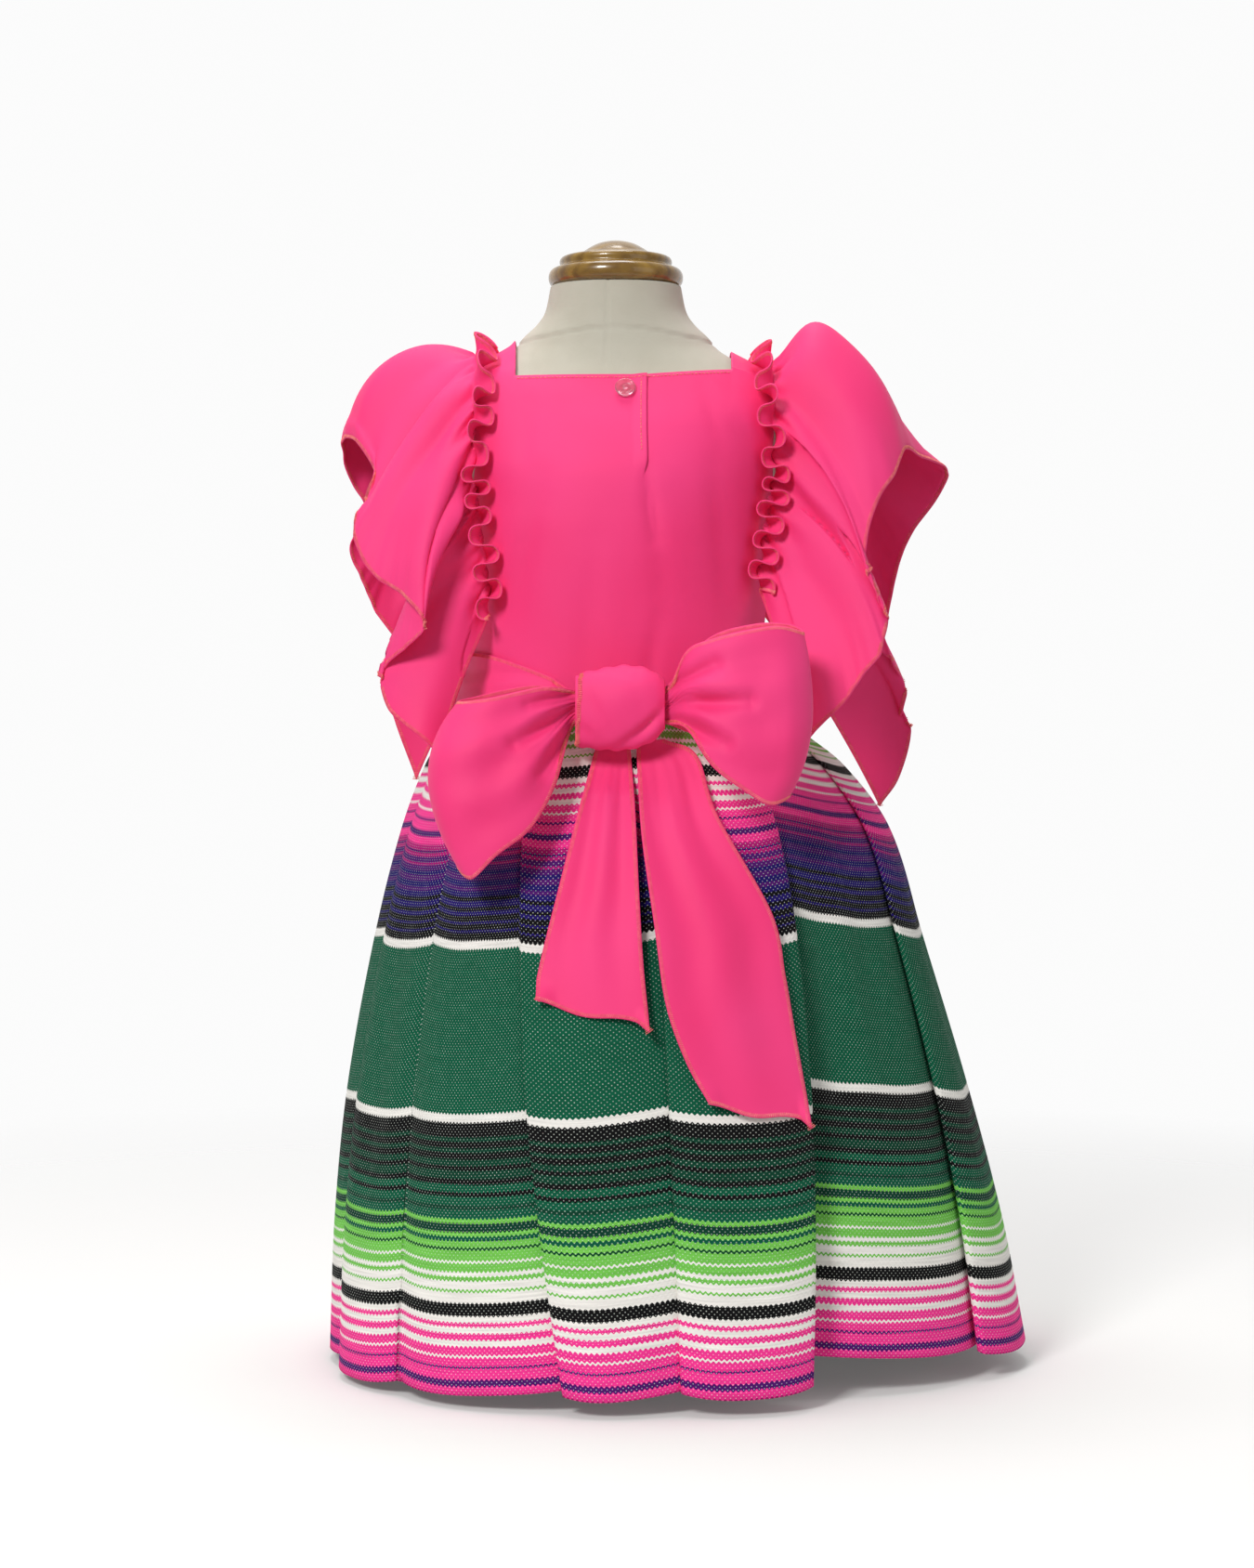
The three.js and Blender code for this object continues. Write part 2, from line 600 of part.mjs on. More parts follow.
function archLength(start, top, end) {
  const steps = 8;
  let length = 0;
  for (let k = 0; k < steps; k += 1) {
    length += archPoint(start, top, end, k / steps).distanceTo(archPoint(start, top, end, (k + 1) / steps));
  }
  return length;
}

// The flounce without its waves: one width of cloth, looser over the shoulder, whose slack arches it.
function flounceRest(curve, edge, along, across) {
  const start = curve.getPointAt(along);
  const end = new THREE.Vector3(...['x', 'y', 'z'].map((axis) => valueAt(edge, axis, along, 'along')));
  const out = start.clone().add(end).multiplyScalar(0.5).sub(flounceHub).normalize();
  const foot = start.clone().lerp(end, valueAt(edge, 'lean', along, 'along'));
  const toShoulder = (along - shoulderSlack.along) / shoulderSlack.wide;
  const loose = flounceWidth + shoulderSlack.extra * Math.exp(-toShoulder * toShoulder);
  const width = Math.max(loose, leastSlack * start.distanceTo(end));
  let low = 0;
  let high = loose;
  for (let step = 0; step < archGuesses; step += 1) {
    const half = (low + high) / 2;
    if (archLength(start, foot.clone().addScaledVector(out, half), end) < width) low = half;
    else high = half;
  }
  const { smoothstep } = THREE.MathUtils;
  const { from, to } = endFlatness;
  const free = smoothstep(along, from, to) * smoothstep(1 - along, from, to);
  return archPoint(start, foot.addScaledVector(out, low * free), end, across);
}

function foldHeight(folds, along, across) {
  const { lerp, smoothstep } = THREE.MathUtils;
  let total = 0;
  for (const { seam, edge, wide, high } of folds) {
    const spread = wide * lerp(foldSpread.seam, foldSpread.edge, across);
    const gap = (along - lerp(seam, edge, across)) / spread;
    total += high * Math.exp(-gap * gap);
  }
  return total * smoothstep(across, 0, foldFade.full) * lerp(1, foldFade.edge, across);
}

function flouncePoint(curve, edge, folds, along, across) {
  const point = flounceRest(curve, edge, along, across);
  const small = 0.004;
  const before = Math.max(0, along - small);
  const after = Math.min(1, along + small);
  const inner = Math.max(0, across - small);
  const outer = Math.min(1, across + small);
  const alongStep = flounceRest(curve, edge, after, across).sub(flounceRest(curve, edge, before, across));
  const acrossStep = flounceRest(curve, edge, along, outer).sub(flounceRest(curve, edge, along, inner));
  const normal = alongStep.cross(acrossStep).normalize();
  if (normal.dot(point.clone().sub(flounceHub)) < 0) normal.negate();
  const ends = Math.sin(Math.PI * along) ** 0.35;
  const fade = Math.max(0, 1 - across / gatherReach);
  const gather = gatherDepth * Math.cos(2 * Math.PI * gathers * along) * fade;
  const wave = mainWaveDepth * ends * across ** 1.2 * Math.cos(2 * Math.PI * mainWaves * along);
  return point.addScaledVector(normal, gather + wave + foldHeight(folds, along, across));
}

// The frill heading stands off the seam towards the neck and leans in and out with each gather.
function headingPoint(curve, side, along, part) {
  const seam = curve.getPointAt(along);
  const normal = formNormal(seam);
  const inward = curve.getTangentAt(along).cross(normal).normalize();
  if (inward.x * side > 0) inward.negate();
  const lean = (headingLean + headingSwing * Math.cos(2 * Math.PI * gathers * along)) * degree;
  const gather = gatherDepth * Math.cos(2 * Math.PI * gathers * along);
  seam.addScaledVector(normal, gather + part * headingWidth * Math.sin(lean));
  return seam.addScaledVector(inward, part * headingWidth * Math.cos(lean));
}

function makeFlounce(name, side, edge, folds) {
  const curve = gatherCurve(side);
  const columns = Array.from({ length: gathers * 4 + 1 }, (_, k) => k / (gathers * 4));
  const grid = [1, 0.5].map((part) => columns.map((along) => headingPoint(curve, side, along, part)));
  for (const across of [0, 0.16, 0.42, 0.72, 1]) {
    grid.push(columns.map((along) => flouncePoint(curve, edge, folds, along, across)));
  }
  addPiece(name, wall(grid, wallThickness), pinkCloth);
}

// The ties: each wraps the waist from its side seam and rises into the knot.
const knotCentre = new THREE.Vector3(3, -116, 415);
const sashRows = [
  { angle: 89.5, top: 452, low: 413 },
  { angle: 72, top: 451, low: 412 },
  { angle: 54, top: 448, low: 410 },
  { angle: 38, top: 441, low: 408 },
  { angle: 26, top: 434, low: 406 },
];
const sashRoot = { reach: 28.4, y: -104.6, top: 424, low: 406, curve: 1.6 };
const sashOffsets = [
  { part: 0, offset: 5.6 },
  { part: 0.33, offset: 7.5 },
  { part: 0.66, offset: 13.5 },
];
const sashOverSkirt = 3.4;
const sashSteps = 16;
const sashParts = [0, 0.33, 0.66, 1];
const sashLifts = 0.8;

function sashPoint(side, along, part) {
  const body = Math.min(1, along / sashLifts);
  const row = body * (sashRows.length - 1);
  const rows = sashRows.map((entry, k) => ({ ...entry, row: k }));
  const angle = side * valueAt(rows, 'angle', row, 'row') * degree;
  const z = THREE.MathUtils.lerp(valueAt(rows, 'top', row, 'row'), valueAt(rows, 'low', row, 'row'), part);
  const down = Math.max(0, (waistHeight - z) / (waistHeight - hemHeight));
  const onSkirt = around(angle, skirtRadius(angle, down) + sashOverSkirt, z, skirtAxisX);
  const onBodice = around(angle, formRadius(angle, z) + valueAt(sashOffsets, 'offset', part, 'part'), z);
  const point = part === 1 ? onSkirt : onBodice;
  if (along <= sashLifts) return point;
  const lift = THREE.MathUtils.smoothstep(along, sashLifts, 1);
  const across = 2 * part - 1;
  const rootX = knotCentre.x + side * sashRoot.reach;
  const rootZ = THREE.MathUtils.lerp(sashRoot.top, sashRoot.low, part);
  return point.lerp(new THREE.Vector3(rootX, sashRoot.y - sashRoot.curve * across * across, rootZ), lift);
}

function makeSash(name, side) {
  const grid = [];
  for (let k = 0; k <= sashSteps; k += 1) {
    grid.push(sashParts.map((part) => sashPoint(side, k / sashSteps, part)));
  }
  addPiece(name, wall(grid, wallThickness), pinkCloth);
}

// Bow loops: sections from the knot out along the front, round the end and back behind. The columns
// are x, y and z of the top edge, then of the middle, then of the low edge.
const loopColumns = ['topX', 'topY', 'topZ', 'midX', 'midY', 'midZ', 'lowX', 'lowY', 'lowZ'];
const leftLoop = [
  [-14, -126, 424, -14, -127.8, 415, -14, -126, 406],
  [-26, -125, 426, -26, -127, 414, -26, -125, 403],
  [-40, -135, 428, -42, -144, 400, -36, -142, 368],
  [-56, -143, 425, -60, -156, 385, -50, -154, 343],
  [-71, -145, 422, -80, -160, 378, -66, -158, 330],
  [-84, -140, 420, -99, -154, 374, -80, -156, 319],
  [-89, -130, 420, -108, -139, 378, -91, -145, 326],
  [-84, -121, 422, -99, -126, 380, -82, -134, 331],
  [-68, -115, 426, -76, -120, 385, -64, -132, 339],
  [-48, -111, 429, -50, -115, 398, -44, -126, 362],
  [-26, -109.4, 426, -26, -108, 414, -26, -109.4, 403],
  [-14, -107.6, 424, -14, -106.4, 415, -14, -107.6, 406],
];
const rightLoop = [
  [20, -126, 424, 20, -127.8, 415, 20, -126, 406],
  [32, -125, 427, 32, -127, 417, 32, -125, 405],
  [43, -135, 449, 45, -146, 424, 43, -141, 402],
  [58, -143, 456, 63, -157, 415, 58, -152, 380],
  [78, -146, 461, 86, -160, 409, 76, -157, 366],
  [98, -142, 464, 105, -154, 408, 92, -155, 357],
  [113, -131, 461, 118, -139, 405, 104, -144, 362],
  [105, -119, 466, 108, -124, 410, 94, -133, 368],
  [84, -114, 466, 86, -119, 415, 78, -129, 376],
  [56, -110, 457, 58, -114, 420, 56, -120, 394],
  [32, -109.4, 429, 32, -108, 417, 32, -109.4, 405],
  [20, -107.6, 424, 20, -106.4, 415, 20, -107.6, 406],
];
const loopSections = 20;
const loopParts = 6;
const loopRipples = 3;
const loopRippleDepth = 2.5;

function loopPoint(table, along, part) {
  const row = along * (table.length - 1);
  const weights = {
    top: (2 * part - 1) * (part - 1),
    mid: 4 * part * (1 - part),
    low: part * (2 * part - 1),
  };
  const point = new THREE.Vector3();
  for (const axis of ['X', 'Y', 'Z']) {
    for (const [edge, weight] of Object.entries(weights)) {
      point[axis.toLowerCase()] += weight * valueAt(table, edge + axis, row, 'row');
    }
  }
  const nearKnot = Math.sin(Math.PI * along) ** 2 * Math.abs(Math.cos(Math.PI * along));
  const face = along < 0.5 ? -1 : 1;
  point.y += face * loopRippleDepth * nearKnot * 2 * Math.cos(2 * Math.PI * loopRipples * part);
  return point;
}

function makeLoop(name, rows) {
  const table = rows.map((sizes, row) => {
    const named = loopColumns.map((column, k) => [column, sizes[k]]);
    return { row, ...Object.fromEntries(named) };
  });
  const grid = [];
  for (let k = 0; k <= loopSections; k += 1) {
    const parts = Array.from({ length: loopParts + 1 }, (_, j) => j / loopParts);
    grid.push(parts.map((part) => loopPoint(table, k / loopSections, part)));
  }
  addPiece(name, wall(grid, wallThickness), pinkCloth);
}

// The knot: a short sleeve of cloth round the roots of the loops, open at its two ends.
const knotSections = [
  { x: -27, halfDepth: 13.6, halfHeight: 21.5 },
  { x: -18, halfDepth: 14, halfHeight: 23.5 },
  { x: 0, halfDepth: 14.4, halfHeight: 24.5 },
  { x: 18, halfDepth: 14, halfHeight: 24 },
  { x: 27, halfDepth: 13.6, halfHeight: 22 },
];
const knotSegments = 20;
const knotPlaces = [-27, -21, -12, 0, 12, 21, 27];

function makeKnot() {
  const grid = knotPlaces.map((x) => {
    const halfDepth = valueAt(knotSections, 'halfDepth', x, 'x');
    const halfHeight = valueAt(knotSections, 'halfHeight', x, 'x');
    const ring = [];
    for (let k = 0; k < knotSegments; k += 1) {
      const angle = (k / knotSegments) * 2 * Math.PI;
      const point = new THREE.Vector3(x, halfDepth * Math.cos(angle), halfHeight * Math.sin(angle));
      ring.push(point.add(knotCentre));
    }
    return ring;
  });
  addPiece('bow_knot', wall(grid, wallThickness, { closed: true }), pinkCloth);
}

// The ties' free ends hang over the skirt from under the knot, a little clear of it.
const leftTail = [
  { leftX: -11, leftZ: 395, rightX: 9, rightZ: 395 },
  { leftX: -17, leftZ: 372, rightX: 11, rightZ: 370 },
  { leftX: -23, leftZ: 350, rightX: 12.5, rightZ: 348 },
  { leftX: -34, leftZ: 306, rightX: 14.5, rightZ: 304 },
  { leftX: -42, leftZ: 278, rightX: 17, rightZ: 262 },
  { leftX: -46, leftZ: 254, rightX: 20.7, rightZ: 226 },
];
const rightTail = [
  { leftX: 13, leftZ: 395, rightX: 30, rightZ: 396 },
  { leftX: 13.5, leftZ: 377, rightX: 50, rightZ: 386 },
  { leftX: 16, leftZ: 338, rightX: 62, rightZ: 350 },
  { leftX: 23.6, leftZ: 284, rightX: 94, rightZ: 292 },
  { leftX: 30, leftZ: 240, rightX: 102, rightZ: 254 },
  { leftX: 41, leftZ: 208, rightX: 108, rightZ: 218 },
  { leftX: 54.6, leftZ: 180, rightX: 117, rightZ: 168 },
];
const tailRootY = -103.6;
const tailClearance = 4;
const tailSections = 14;
const tailParts = 8;
const tailRipples = 2;
const tailRippleDepth = 2;

// The skirt's outer surface straight behind a point of the bow.
function skirtDepthAt(x, z) {
  const down = (waistHeight - z) / (waistHeight - hemHeight);
  const side = valueAt(skirtProfile, x < skirtAxisX ? 'left' : 'right', down, 'down');
  const back = valueAt(skirtProfile, 'back', down, 'down');
  return -back * Math.sqrt(Math.max(0, 1 - ((x - skirtAxisX) / side) ** 2));
}

function tailPoint(rows, proud, along, part) {
  const numbered = rows.map((entry, k) => ({ ...entry, row: k }));
  const size = (key) => valueAt(numbered, key, along * (rows.length - 1), 'row');
  const x = THREE.MathUtils.lerp(size('leftX'), size('rightX'), part);
  const z = THREE.MathUtils.lerp(size('leftZ'), size('rightZ'), part);
  const rise = 1 + Math.cos(2 * Math.PI * tailRipples * part);
  const ripple = tailRippleDepth * rise * Math.sin(Math.PI * along * 0.9);
  const onSkirt = skirtDepthAt(x, z) - tailClearance - proud - ripple;
  const hang = THREE.MathUtils.smoothstep(along, 0, 0.3);
  return new THREE.Vector3(x, THREE.MathUtils.lerp(tailRootY, onSkirt, hang), z);
}

function makeTail(name, rows, proud) {
  const grid = [];
  for (let k = 0; k <= tailSections; k += 1) {
    const parts = Array.from({ length: tailParts + 1 }, (_, j) => j / tailParts);
    grid.push(parts.map((part) => tailPoint(rows, proud, k / tailSections, part)));
  }
  addPiece(name, wall(grid, wallThickness), pinkCloth);
}

// The snap's socket, a dished disc with a post, on the bodice at the top of the placket.
const snapX = 6;
const snapHeight = 613.3;
const snapSegments = 16;
const snapProfile = [[0, 0], [5.6, 0], [6.4, 0.7], [6.1, 1.7], [5.2, 2.1], [4.4, 1.7], [3.9, 1], [1.6, 0.9],
  [1.4, 2], [0.9, 2.4], [0, 2.5]];

function makeSnap() {
  const snap = addPiece('neck_snap', turned(snapProfile, snapSegments), clearPlastic);
  const lift = clothOffset + wallThickness / 2 + 2 * seamGap;
  const place = onBody(snapX, turnForHeight(snapX, snapHeight), lift);
  snap.position.copy(place);
  snap.quaternion.setFromUnitVectors(new THREE.Vector3(0, 0, 1), formNormal(place));
}

makeForm();
makeSkirt();
makeBodice();
makeFlounce('flounce_left', -1, leftEdge, leftFolds);
makeFlounce('flounce_right', 1, rightEdge, rightFolds);
makeSash('sash_left', -1);
makeSash('sash_right', 1);
makeLoop('bow_loop_left', leftLoop);
makeLoop('bow_loop_right', rightLoop);
makeKnot();
makeTail('bow_tail_left', leftTail, 0);
makeTail('bow_tail_right', rightTail, 3);
makeSnap();

export default dress;
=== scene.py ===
import math

import bmesh
import bpy
import numpy as np
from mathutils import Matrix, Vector


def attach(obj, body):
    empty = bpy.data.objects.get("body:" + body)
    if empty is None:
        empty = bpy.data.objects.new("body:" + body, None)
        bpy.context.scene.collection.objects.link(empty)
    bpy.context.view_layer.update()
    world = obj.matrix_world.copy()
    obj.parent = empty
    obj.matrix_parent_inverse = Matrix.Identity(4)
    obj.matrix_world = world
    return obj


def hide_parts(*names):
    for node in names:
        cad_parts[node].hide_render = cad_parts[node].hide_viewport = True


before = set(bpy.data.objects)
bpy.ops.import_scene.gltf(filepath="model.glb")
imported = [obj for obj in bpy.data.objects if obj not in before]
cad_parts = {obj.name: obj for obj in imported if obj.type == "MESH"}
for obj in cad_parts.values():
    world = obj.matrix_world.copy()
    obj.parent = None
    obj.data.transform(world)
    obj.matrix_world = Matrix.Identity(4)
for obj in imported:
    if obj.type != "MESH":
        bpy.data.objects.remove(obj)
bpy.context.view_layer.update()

# All sizes below are in millimetres and turned into metres where a mesh is made.
mm = 0.001
degree = math.pi / 180


# A table is given as its columns' names and rows of values, and kept as one dictionary for each row.
def rowsOf(names, *rows):
    return [dict(zip(names.split(), row)) for row in rows]


# A smooth curve between rows i and i + 1, from the values and the slopes at both.
def hermite(t, value, slope, i, span=1):
    return (
        (2 * t**3 - 3 * t**2 + 1) * value[i]
        + (t**3 - 2 * t**2 + t) * span * slope[i]
        + (3 * t**2 - 2 * t**3) * value[i + 1]
        + (t**3 - t**2) * span * slope[i + 1]
    )


# One smooth value, or many, of a table's column at places along another column.
def smooth(table, key, place, alongKey="row"):
    along = np.array([row.get(alongKey, i) for i, row in enumerate(table)], float)
    value = np.array([row[key] for row in table], float)
    slope = np.gradient(value, along)
    slope[1:-1] = (value[2:] - value[:-2]) / (along[2:] - along[:-2])
    place = np.clip(np.asarray(place, float), along[0], along[-1])
    i = np.clip(np.searchsorted(along, place, side="right") - 1, 0, len(along) - 2)
    span = along[i + 1] - along[i]
    return hermite((place - along[i]) / span, value, slope, i, span)


def ease(low, high, value):
    t = np.clip((np.asarray(value, float) - low) / (high - low), 0, 1)
    return t * t * (3 - 2 * t)


def unit(vectors):
    return vectors / np.maximum(np.linalg.norm(vectors, axis=-1, keepdims=True), 1e-9)


# A slow wander between -1 and 1 along one number, the same each run, for uneven folds.
def wander(place, seed, count=5):
    draw = np.random.default_rng(seed)
    total = np.zeros_like(np.asarray(place, float))
    for k in range(1, count + 1):
        total += draw.normal() / k * np.sin(2 * math.pi * k * place + draw.uniform(0, 2 * math.pi))
    return total / 1.6


def runningSum(steps):
    return np.concatenate([[0], np.cumsum(steps)])


def setInputs(tree, item, inputs):
    for key, value in inputs.items():
        if isinstance(value, bpy.types.NodeSocket):
            tree.links.new(value, item.inputs[key])
        else:
            item.inputs[key].default_value = value


# Materials: one function adds a node with its settings and links and gives back an output.
def addNode(tree, kind, inputs=None, out=0, **settings):
    item = tree.nodes.new(kind)
    for key, value in settings.items():
        setattr(item, key, value)
    setInputs(tree, item, inputs or {})
    return item.outputs[out] if out is not None else item


def linear(hexColour):
    parts = [int(hexColour[k : k + 2], 16) / 255 for k in (1, 3, 5)]
    return tuple(c / 12.92 if c <= 0.04045 else ((c + 0.055) / 1.055) ** 2.4 for c in parts) + (1.0,)


# Two shades mottled by noise on the piece's own place: the noise itself and the mixed colour.
def mottle(tree, noise, shades, ends=(0, 1)):
    place = addNode(tree, "ShaderNodeTexCoord", out=3)
    spots = addNode(tree, "ShaderNodeTexNoise", {"Vector": place, **noise})
    share = addNode(tree, "ShaderNodeMapRange", {0: spots, 1: ends[0], 2: ends[1]})
    mixed = {0: share, 6: linear(shades[0]), 7: linear(shades[1])}
    return spots, addNode(tree, "ShaderNodeMix", mixed, out=2, data_type="RGBA")


# The cloth's own lengths, across and up, and each as turns of a circle from thread to thread.
def threadTurns(tree, pitches):
    cloth = addNode(tree, "ShaderNodeUVMap", uv_map="cloth")
    parts = addNode(tree, "ShaderNodeSeparateXYZ", {0: cloth}, out=None).outputs
    turns = []
    for part, pitch in zip(parts, pitches):
        scale = 2 * math.pi / (pitch * mm)
        turns.append(addNode(tree, "ShaderNodeMath", {0: part, 1: scale}, operation="MULTIPLY"))
    return cloth, parts, turns


def newMaterial(name):
    material = bpy.data.materials.new(name)
    material.use_nodes = True
    tree = material.node_tree
    shader = tree.nodes["Principled BSDF"]
    return material, tree, shader


# Meshes: a grid of points in millimetres becomes a sheet with the cloth's own lengths as its UVs.
def gridMesh(name, grid, cloth=None, skip=None, aroundJoins=False):
    rows, columns = grid.shape[:2]
    if cloth is None:
        cloth = clothLengths(grid)
    i, j = np.meshgrid(np.arange(rows - 1), np.arange(columns - 1), indexing="ij")
    keep = np.ones(i.shape, bool) if skip is None else ~skip(i, j)
    first = (i * columns + j)[keep]
    faces = np.stack([first, first + 1, first + columns + 1, first + columns], axis=1)
    used = np.unique(faces)
    newIndex = np.zeros(rows * columns, int)
    newIndex[used] = np.arange(len(used))
    mesh = bpy.data.meshes.new(name)
    mesh.from_pydata((grid.reshape(-1, 3)[used] * mm).tolist(), [], newIndex[faces].tolist())
    layer = mesh.uv_layers.new(name="cloth")
    layer.data.foreach_set("uv", (cloth.reshape(-1, 2)[faces.reshape(-1)] * mm).astype(np.float32).ravel())
    mesh.polygons.foreach_set("use_smooth", np.ones(len(mesh.polygons), bool))
    piece = bpy.data.objects.new(name, mesh)
    bpy.context.collection.objects.link(piece)
    if aroundJoins:
        weld(piece)
    return piece


# Running lengths of a grid: across along its middle row, and down its columns from the last row up.
def clothLengths(grid):
    across = np.linalg.norm(np.diff(grid, axis=1), axis=2).mean(axis=0)
    up = np.linalg.norm(np.diff(grid[::-1], axis=0), axis=2)
    u = runningSum(across)
    v = np.vstack([np.zeros(grid.shape[1]), np.cumsum(up, axis=0)])[::-1]
    return np.stack([np.broadcast_to(u, v.shape), v], axis=2)


def weld(piece):
    work = bmesh.new()
    work.from_mesh(piece.data)
    bmesh.ops.remove_doubles(work, verts=work.verts, dist=1e-6)
    work.to_mesh(piece.data)
    work.free()


def giveThickness(piece, thickness):
    modifier = piece.modifiers.new("thickness", "SOLIDIFY")
    modifier.thickness = thickness * mm
    modifier.offset = 0
    modifier.use_even_offset = False


def finishPiece(piece, material, node):
    piece.data.materials.clear()
    piece.data.materials.append(material)
    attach(piece, "root")
    if node:
        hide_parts(node)


# Camera: the photograph's place, worked out from the curves of the cap and the hem.
cameraSizes = {"x": 7.2, "y": -1950, "z": 405, "pitch": -1.13, "lens": 69.3, "sensor": 36}


def placeCamera():
    data = bpy.data.cameras.new("camera")
    data.sensor_fit = "AUTO"
    data.sensor_width = cameraSizes["sensor"]
    data.lens = cameraSizes["lens"]
    camera = bpy.data.objects.new("camera", data)
    camera.location = Vector([cameraSizes[axis] for axis in "xyz"]) * mm
    camera.rotation_euler = ((90 + cameraSizes["pitch"]) * degree, 0, 0)
    bpy.context.collection.objects.link(camera)
    bpy.context.scene.camera = camera


# Plain studio light: a large key from the upper left, a weak fill, and a white wall behind the dress.
studioLights = rowsOf(
    "name place size power",
    ("key", (-1100, -2300, 1900), 700, 58), ("fill", (1900, -1700, 900), 1700, 6),
    ("top", (-100, 200, 2300), 1000, 20),
)

# The world's strength in front and on the wall behind, where it changes, and what the lights aim at.
studioWorld = {"front": 0.27, "wall": 0.97, "from": -0.1, "to": 0.75, "target": (0, 0, 380)}
# The floor fades into the white wall between two distances in metres.
studioFloor = {"size": 6.0, "fadeFrom": 0.25, "fadeTo": 1.3, "alpha": 0.9}


def lightStudio():
    target = Vector(studioWorld["target"]) * mm
    for entry in studioLights:
        data = bpy.data.lights.new(entry["name"], "AREA")
        data.size = entry["size"] * mm
        data.energy = entry["power"]
        light = bpy.data.objects.new(entry["name"], data)
        light.location = Vector(entry["place"]) * mm
        light.rotation_euler = (target - light.location).to_track_quat("-Z", "Y").to_euler()
        bpy.context.collection.objects.link(light)
    world = bpy.data.worlds.new("pale studio")
    world.use_nodes = True
    tree = world.node_tree
    parts = addNode(tree, "ShaderNodeSeparateXYZ", {0: addNode(tree, "ShaderNodeTexCoord", out=0)}, out=None)
    levels = {index: studioWorld[key] for index, key in enumerate(("from", "to", "front", "wall"), 1)}
    wall = addNode(tree, "ShaderNodeMapRange", {0: parts.outputs[1], **levels})
    setInputs(tree, tree.nodes["Background"], {"Color": (1, 1, 1, 1), "Strength": wall})
    bpy.context.scene.world = world
    bpy.context.scene.view_settings.view_transform = "Standard"


def layFloor():
    size = studioFloor["size"]
    mesh = bpy.data.meshes.new("floor")
    corners = [(-size, -size, 0), (size, -size, 0), (size, size, 0), (-size, size, 0)]
    mesh.from_pydata(corners, [], [(0, 1, 2, 3)])
    floor = bpy.data.objects.new("floor", mesh)
    bpy.context.collection.objects.link(floor)
    material, tree, shader = newMaterial("matte white studio floor")
    place = addNode(tree, "ShaderNodeTexCoord", out=3)
    reach = addNode(tree, "ShaderNodeVectorMath", {0: place}, out=1, operation="LENGTH")
    ends = {1: studioFloor["fadeFrom"], 2: studioFloor["fadeTo"], 3: studioFloor["alpha"], 4: 0.0}
    fade = addNode(tree, "ShaderNodeMapRange", {0: reach, **ends})
    setInputs(tree, shader, {"Base Color": linear("#f4f3f1"), "Roughness": 0.9, "Alpha": fade})
    mesh.materials.append(material)


# The padded form's own sections, bottom to top.
formSections = rowsOf(
    "z halfWidth halfDepth",
    (332, 62, 52), (342, 82, 71), (370, 89, 79), (420, 89, 79), (470, 92, 82), (520, 97, 86),
    (560, 103, 84), (590, 113, 73), (606, 116, 64), (620, 110, 55), (632, 90, 47), (644, 68, 42),
    (654, 58.5, 40), (661, 51, 39.2), (669, 45.8, 38.8), (686, 42, 38.5),
)
formRoundness = 2.2
crossAxisHeight = 560


def formSize(z):
    return smooth(formSections, "halfWidth", z, "z"), smooth(formSections, "halfDepth", z, "z")


def formLevel(points):
    width, depth = formSize(points[..., 2])
    return np.abs(points[..., 0] / width) ** formRoundness + np.abs(points[..., 1] / depth) ** formRoundness


def formRadius(angle, z):
    width, depth = formSize(z)
    total = np.abs(np.sin(angle) / width) ** formRoundness + np.abs(np.cos(angle) / depth) ** formRoundness
    return total ** (-1 / formRoundness)


def formNormal(points, step=0.5):
    slope = []
    for axis in range(3):
        shift = np.zeros(3)
        shift[axis] = step
        slope.append(formLevel(points + shift) - formLevel(points - shift))
    return unit(np.stack(slope, axis=-1))


# Points at an angle from the dress's back towards +X, a distance from an upright axis.
def around(angle, radius, z, axisX=0):
    angle, radius, z = np.broadcast_arrays(angle, radius, z)
    return np.stack([axisX + radius * np.sin(angle), -radius * np.cos(angle), z], axis=-1).astype(float)


# Points on the form straight out from its cross axis: turn 0 at the back, 90 degrees on the shoulder.
def onBody(x, turn, offset):
    x, turn = np.broadcast_arrays(np.asarray(x, float), np.asarray(turn, float))
    out = np.stack([np.zeros_like(x), -np.cos(turn), np.sin(turn)], axis=-1)
    start = np.stack([x, np.zeros_like(x), np.full_like(x, crossAxisHeight)], axis=-1)
    near = np.zeros_like(x)
    far = np.full_like(x, 160.0)
    for _ in range(26):
        half = (near + far) / 2
        inside = formLevel(start + out * half[..., None]) < 1
        near = np.where(inside, half, near)
        far = np.where(inside, far, half)
    point = start + out * near[..., None]
    return point + formNormal(point) * np.asarray(offset, float)[..., None]


def turnForHeight(x, height, offset):
    x, height = np.broadcast_arrays(np.asarray(x, float), np.asarray(height, float))
    low = np.full_like(x, -62 * degree)
    high = np.full_like(x, 88 * degree)
    for _ in range(20):
        half = (low + high) / 2
        below = onBody(x, half, offset)[..., 2] < height
        low = np.where(below, half, low)
        high = np.where(below, high, half)
    return low


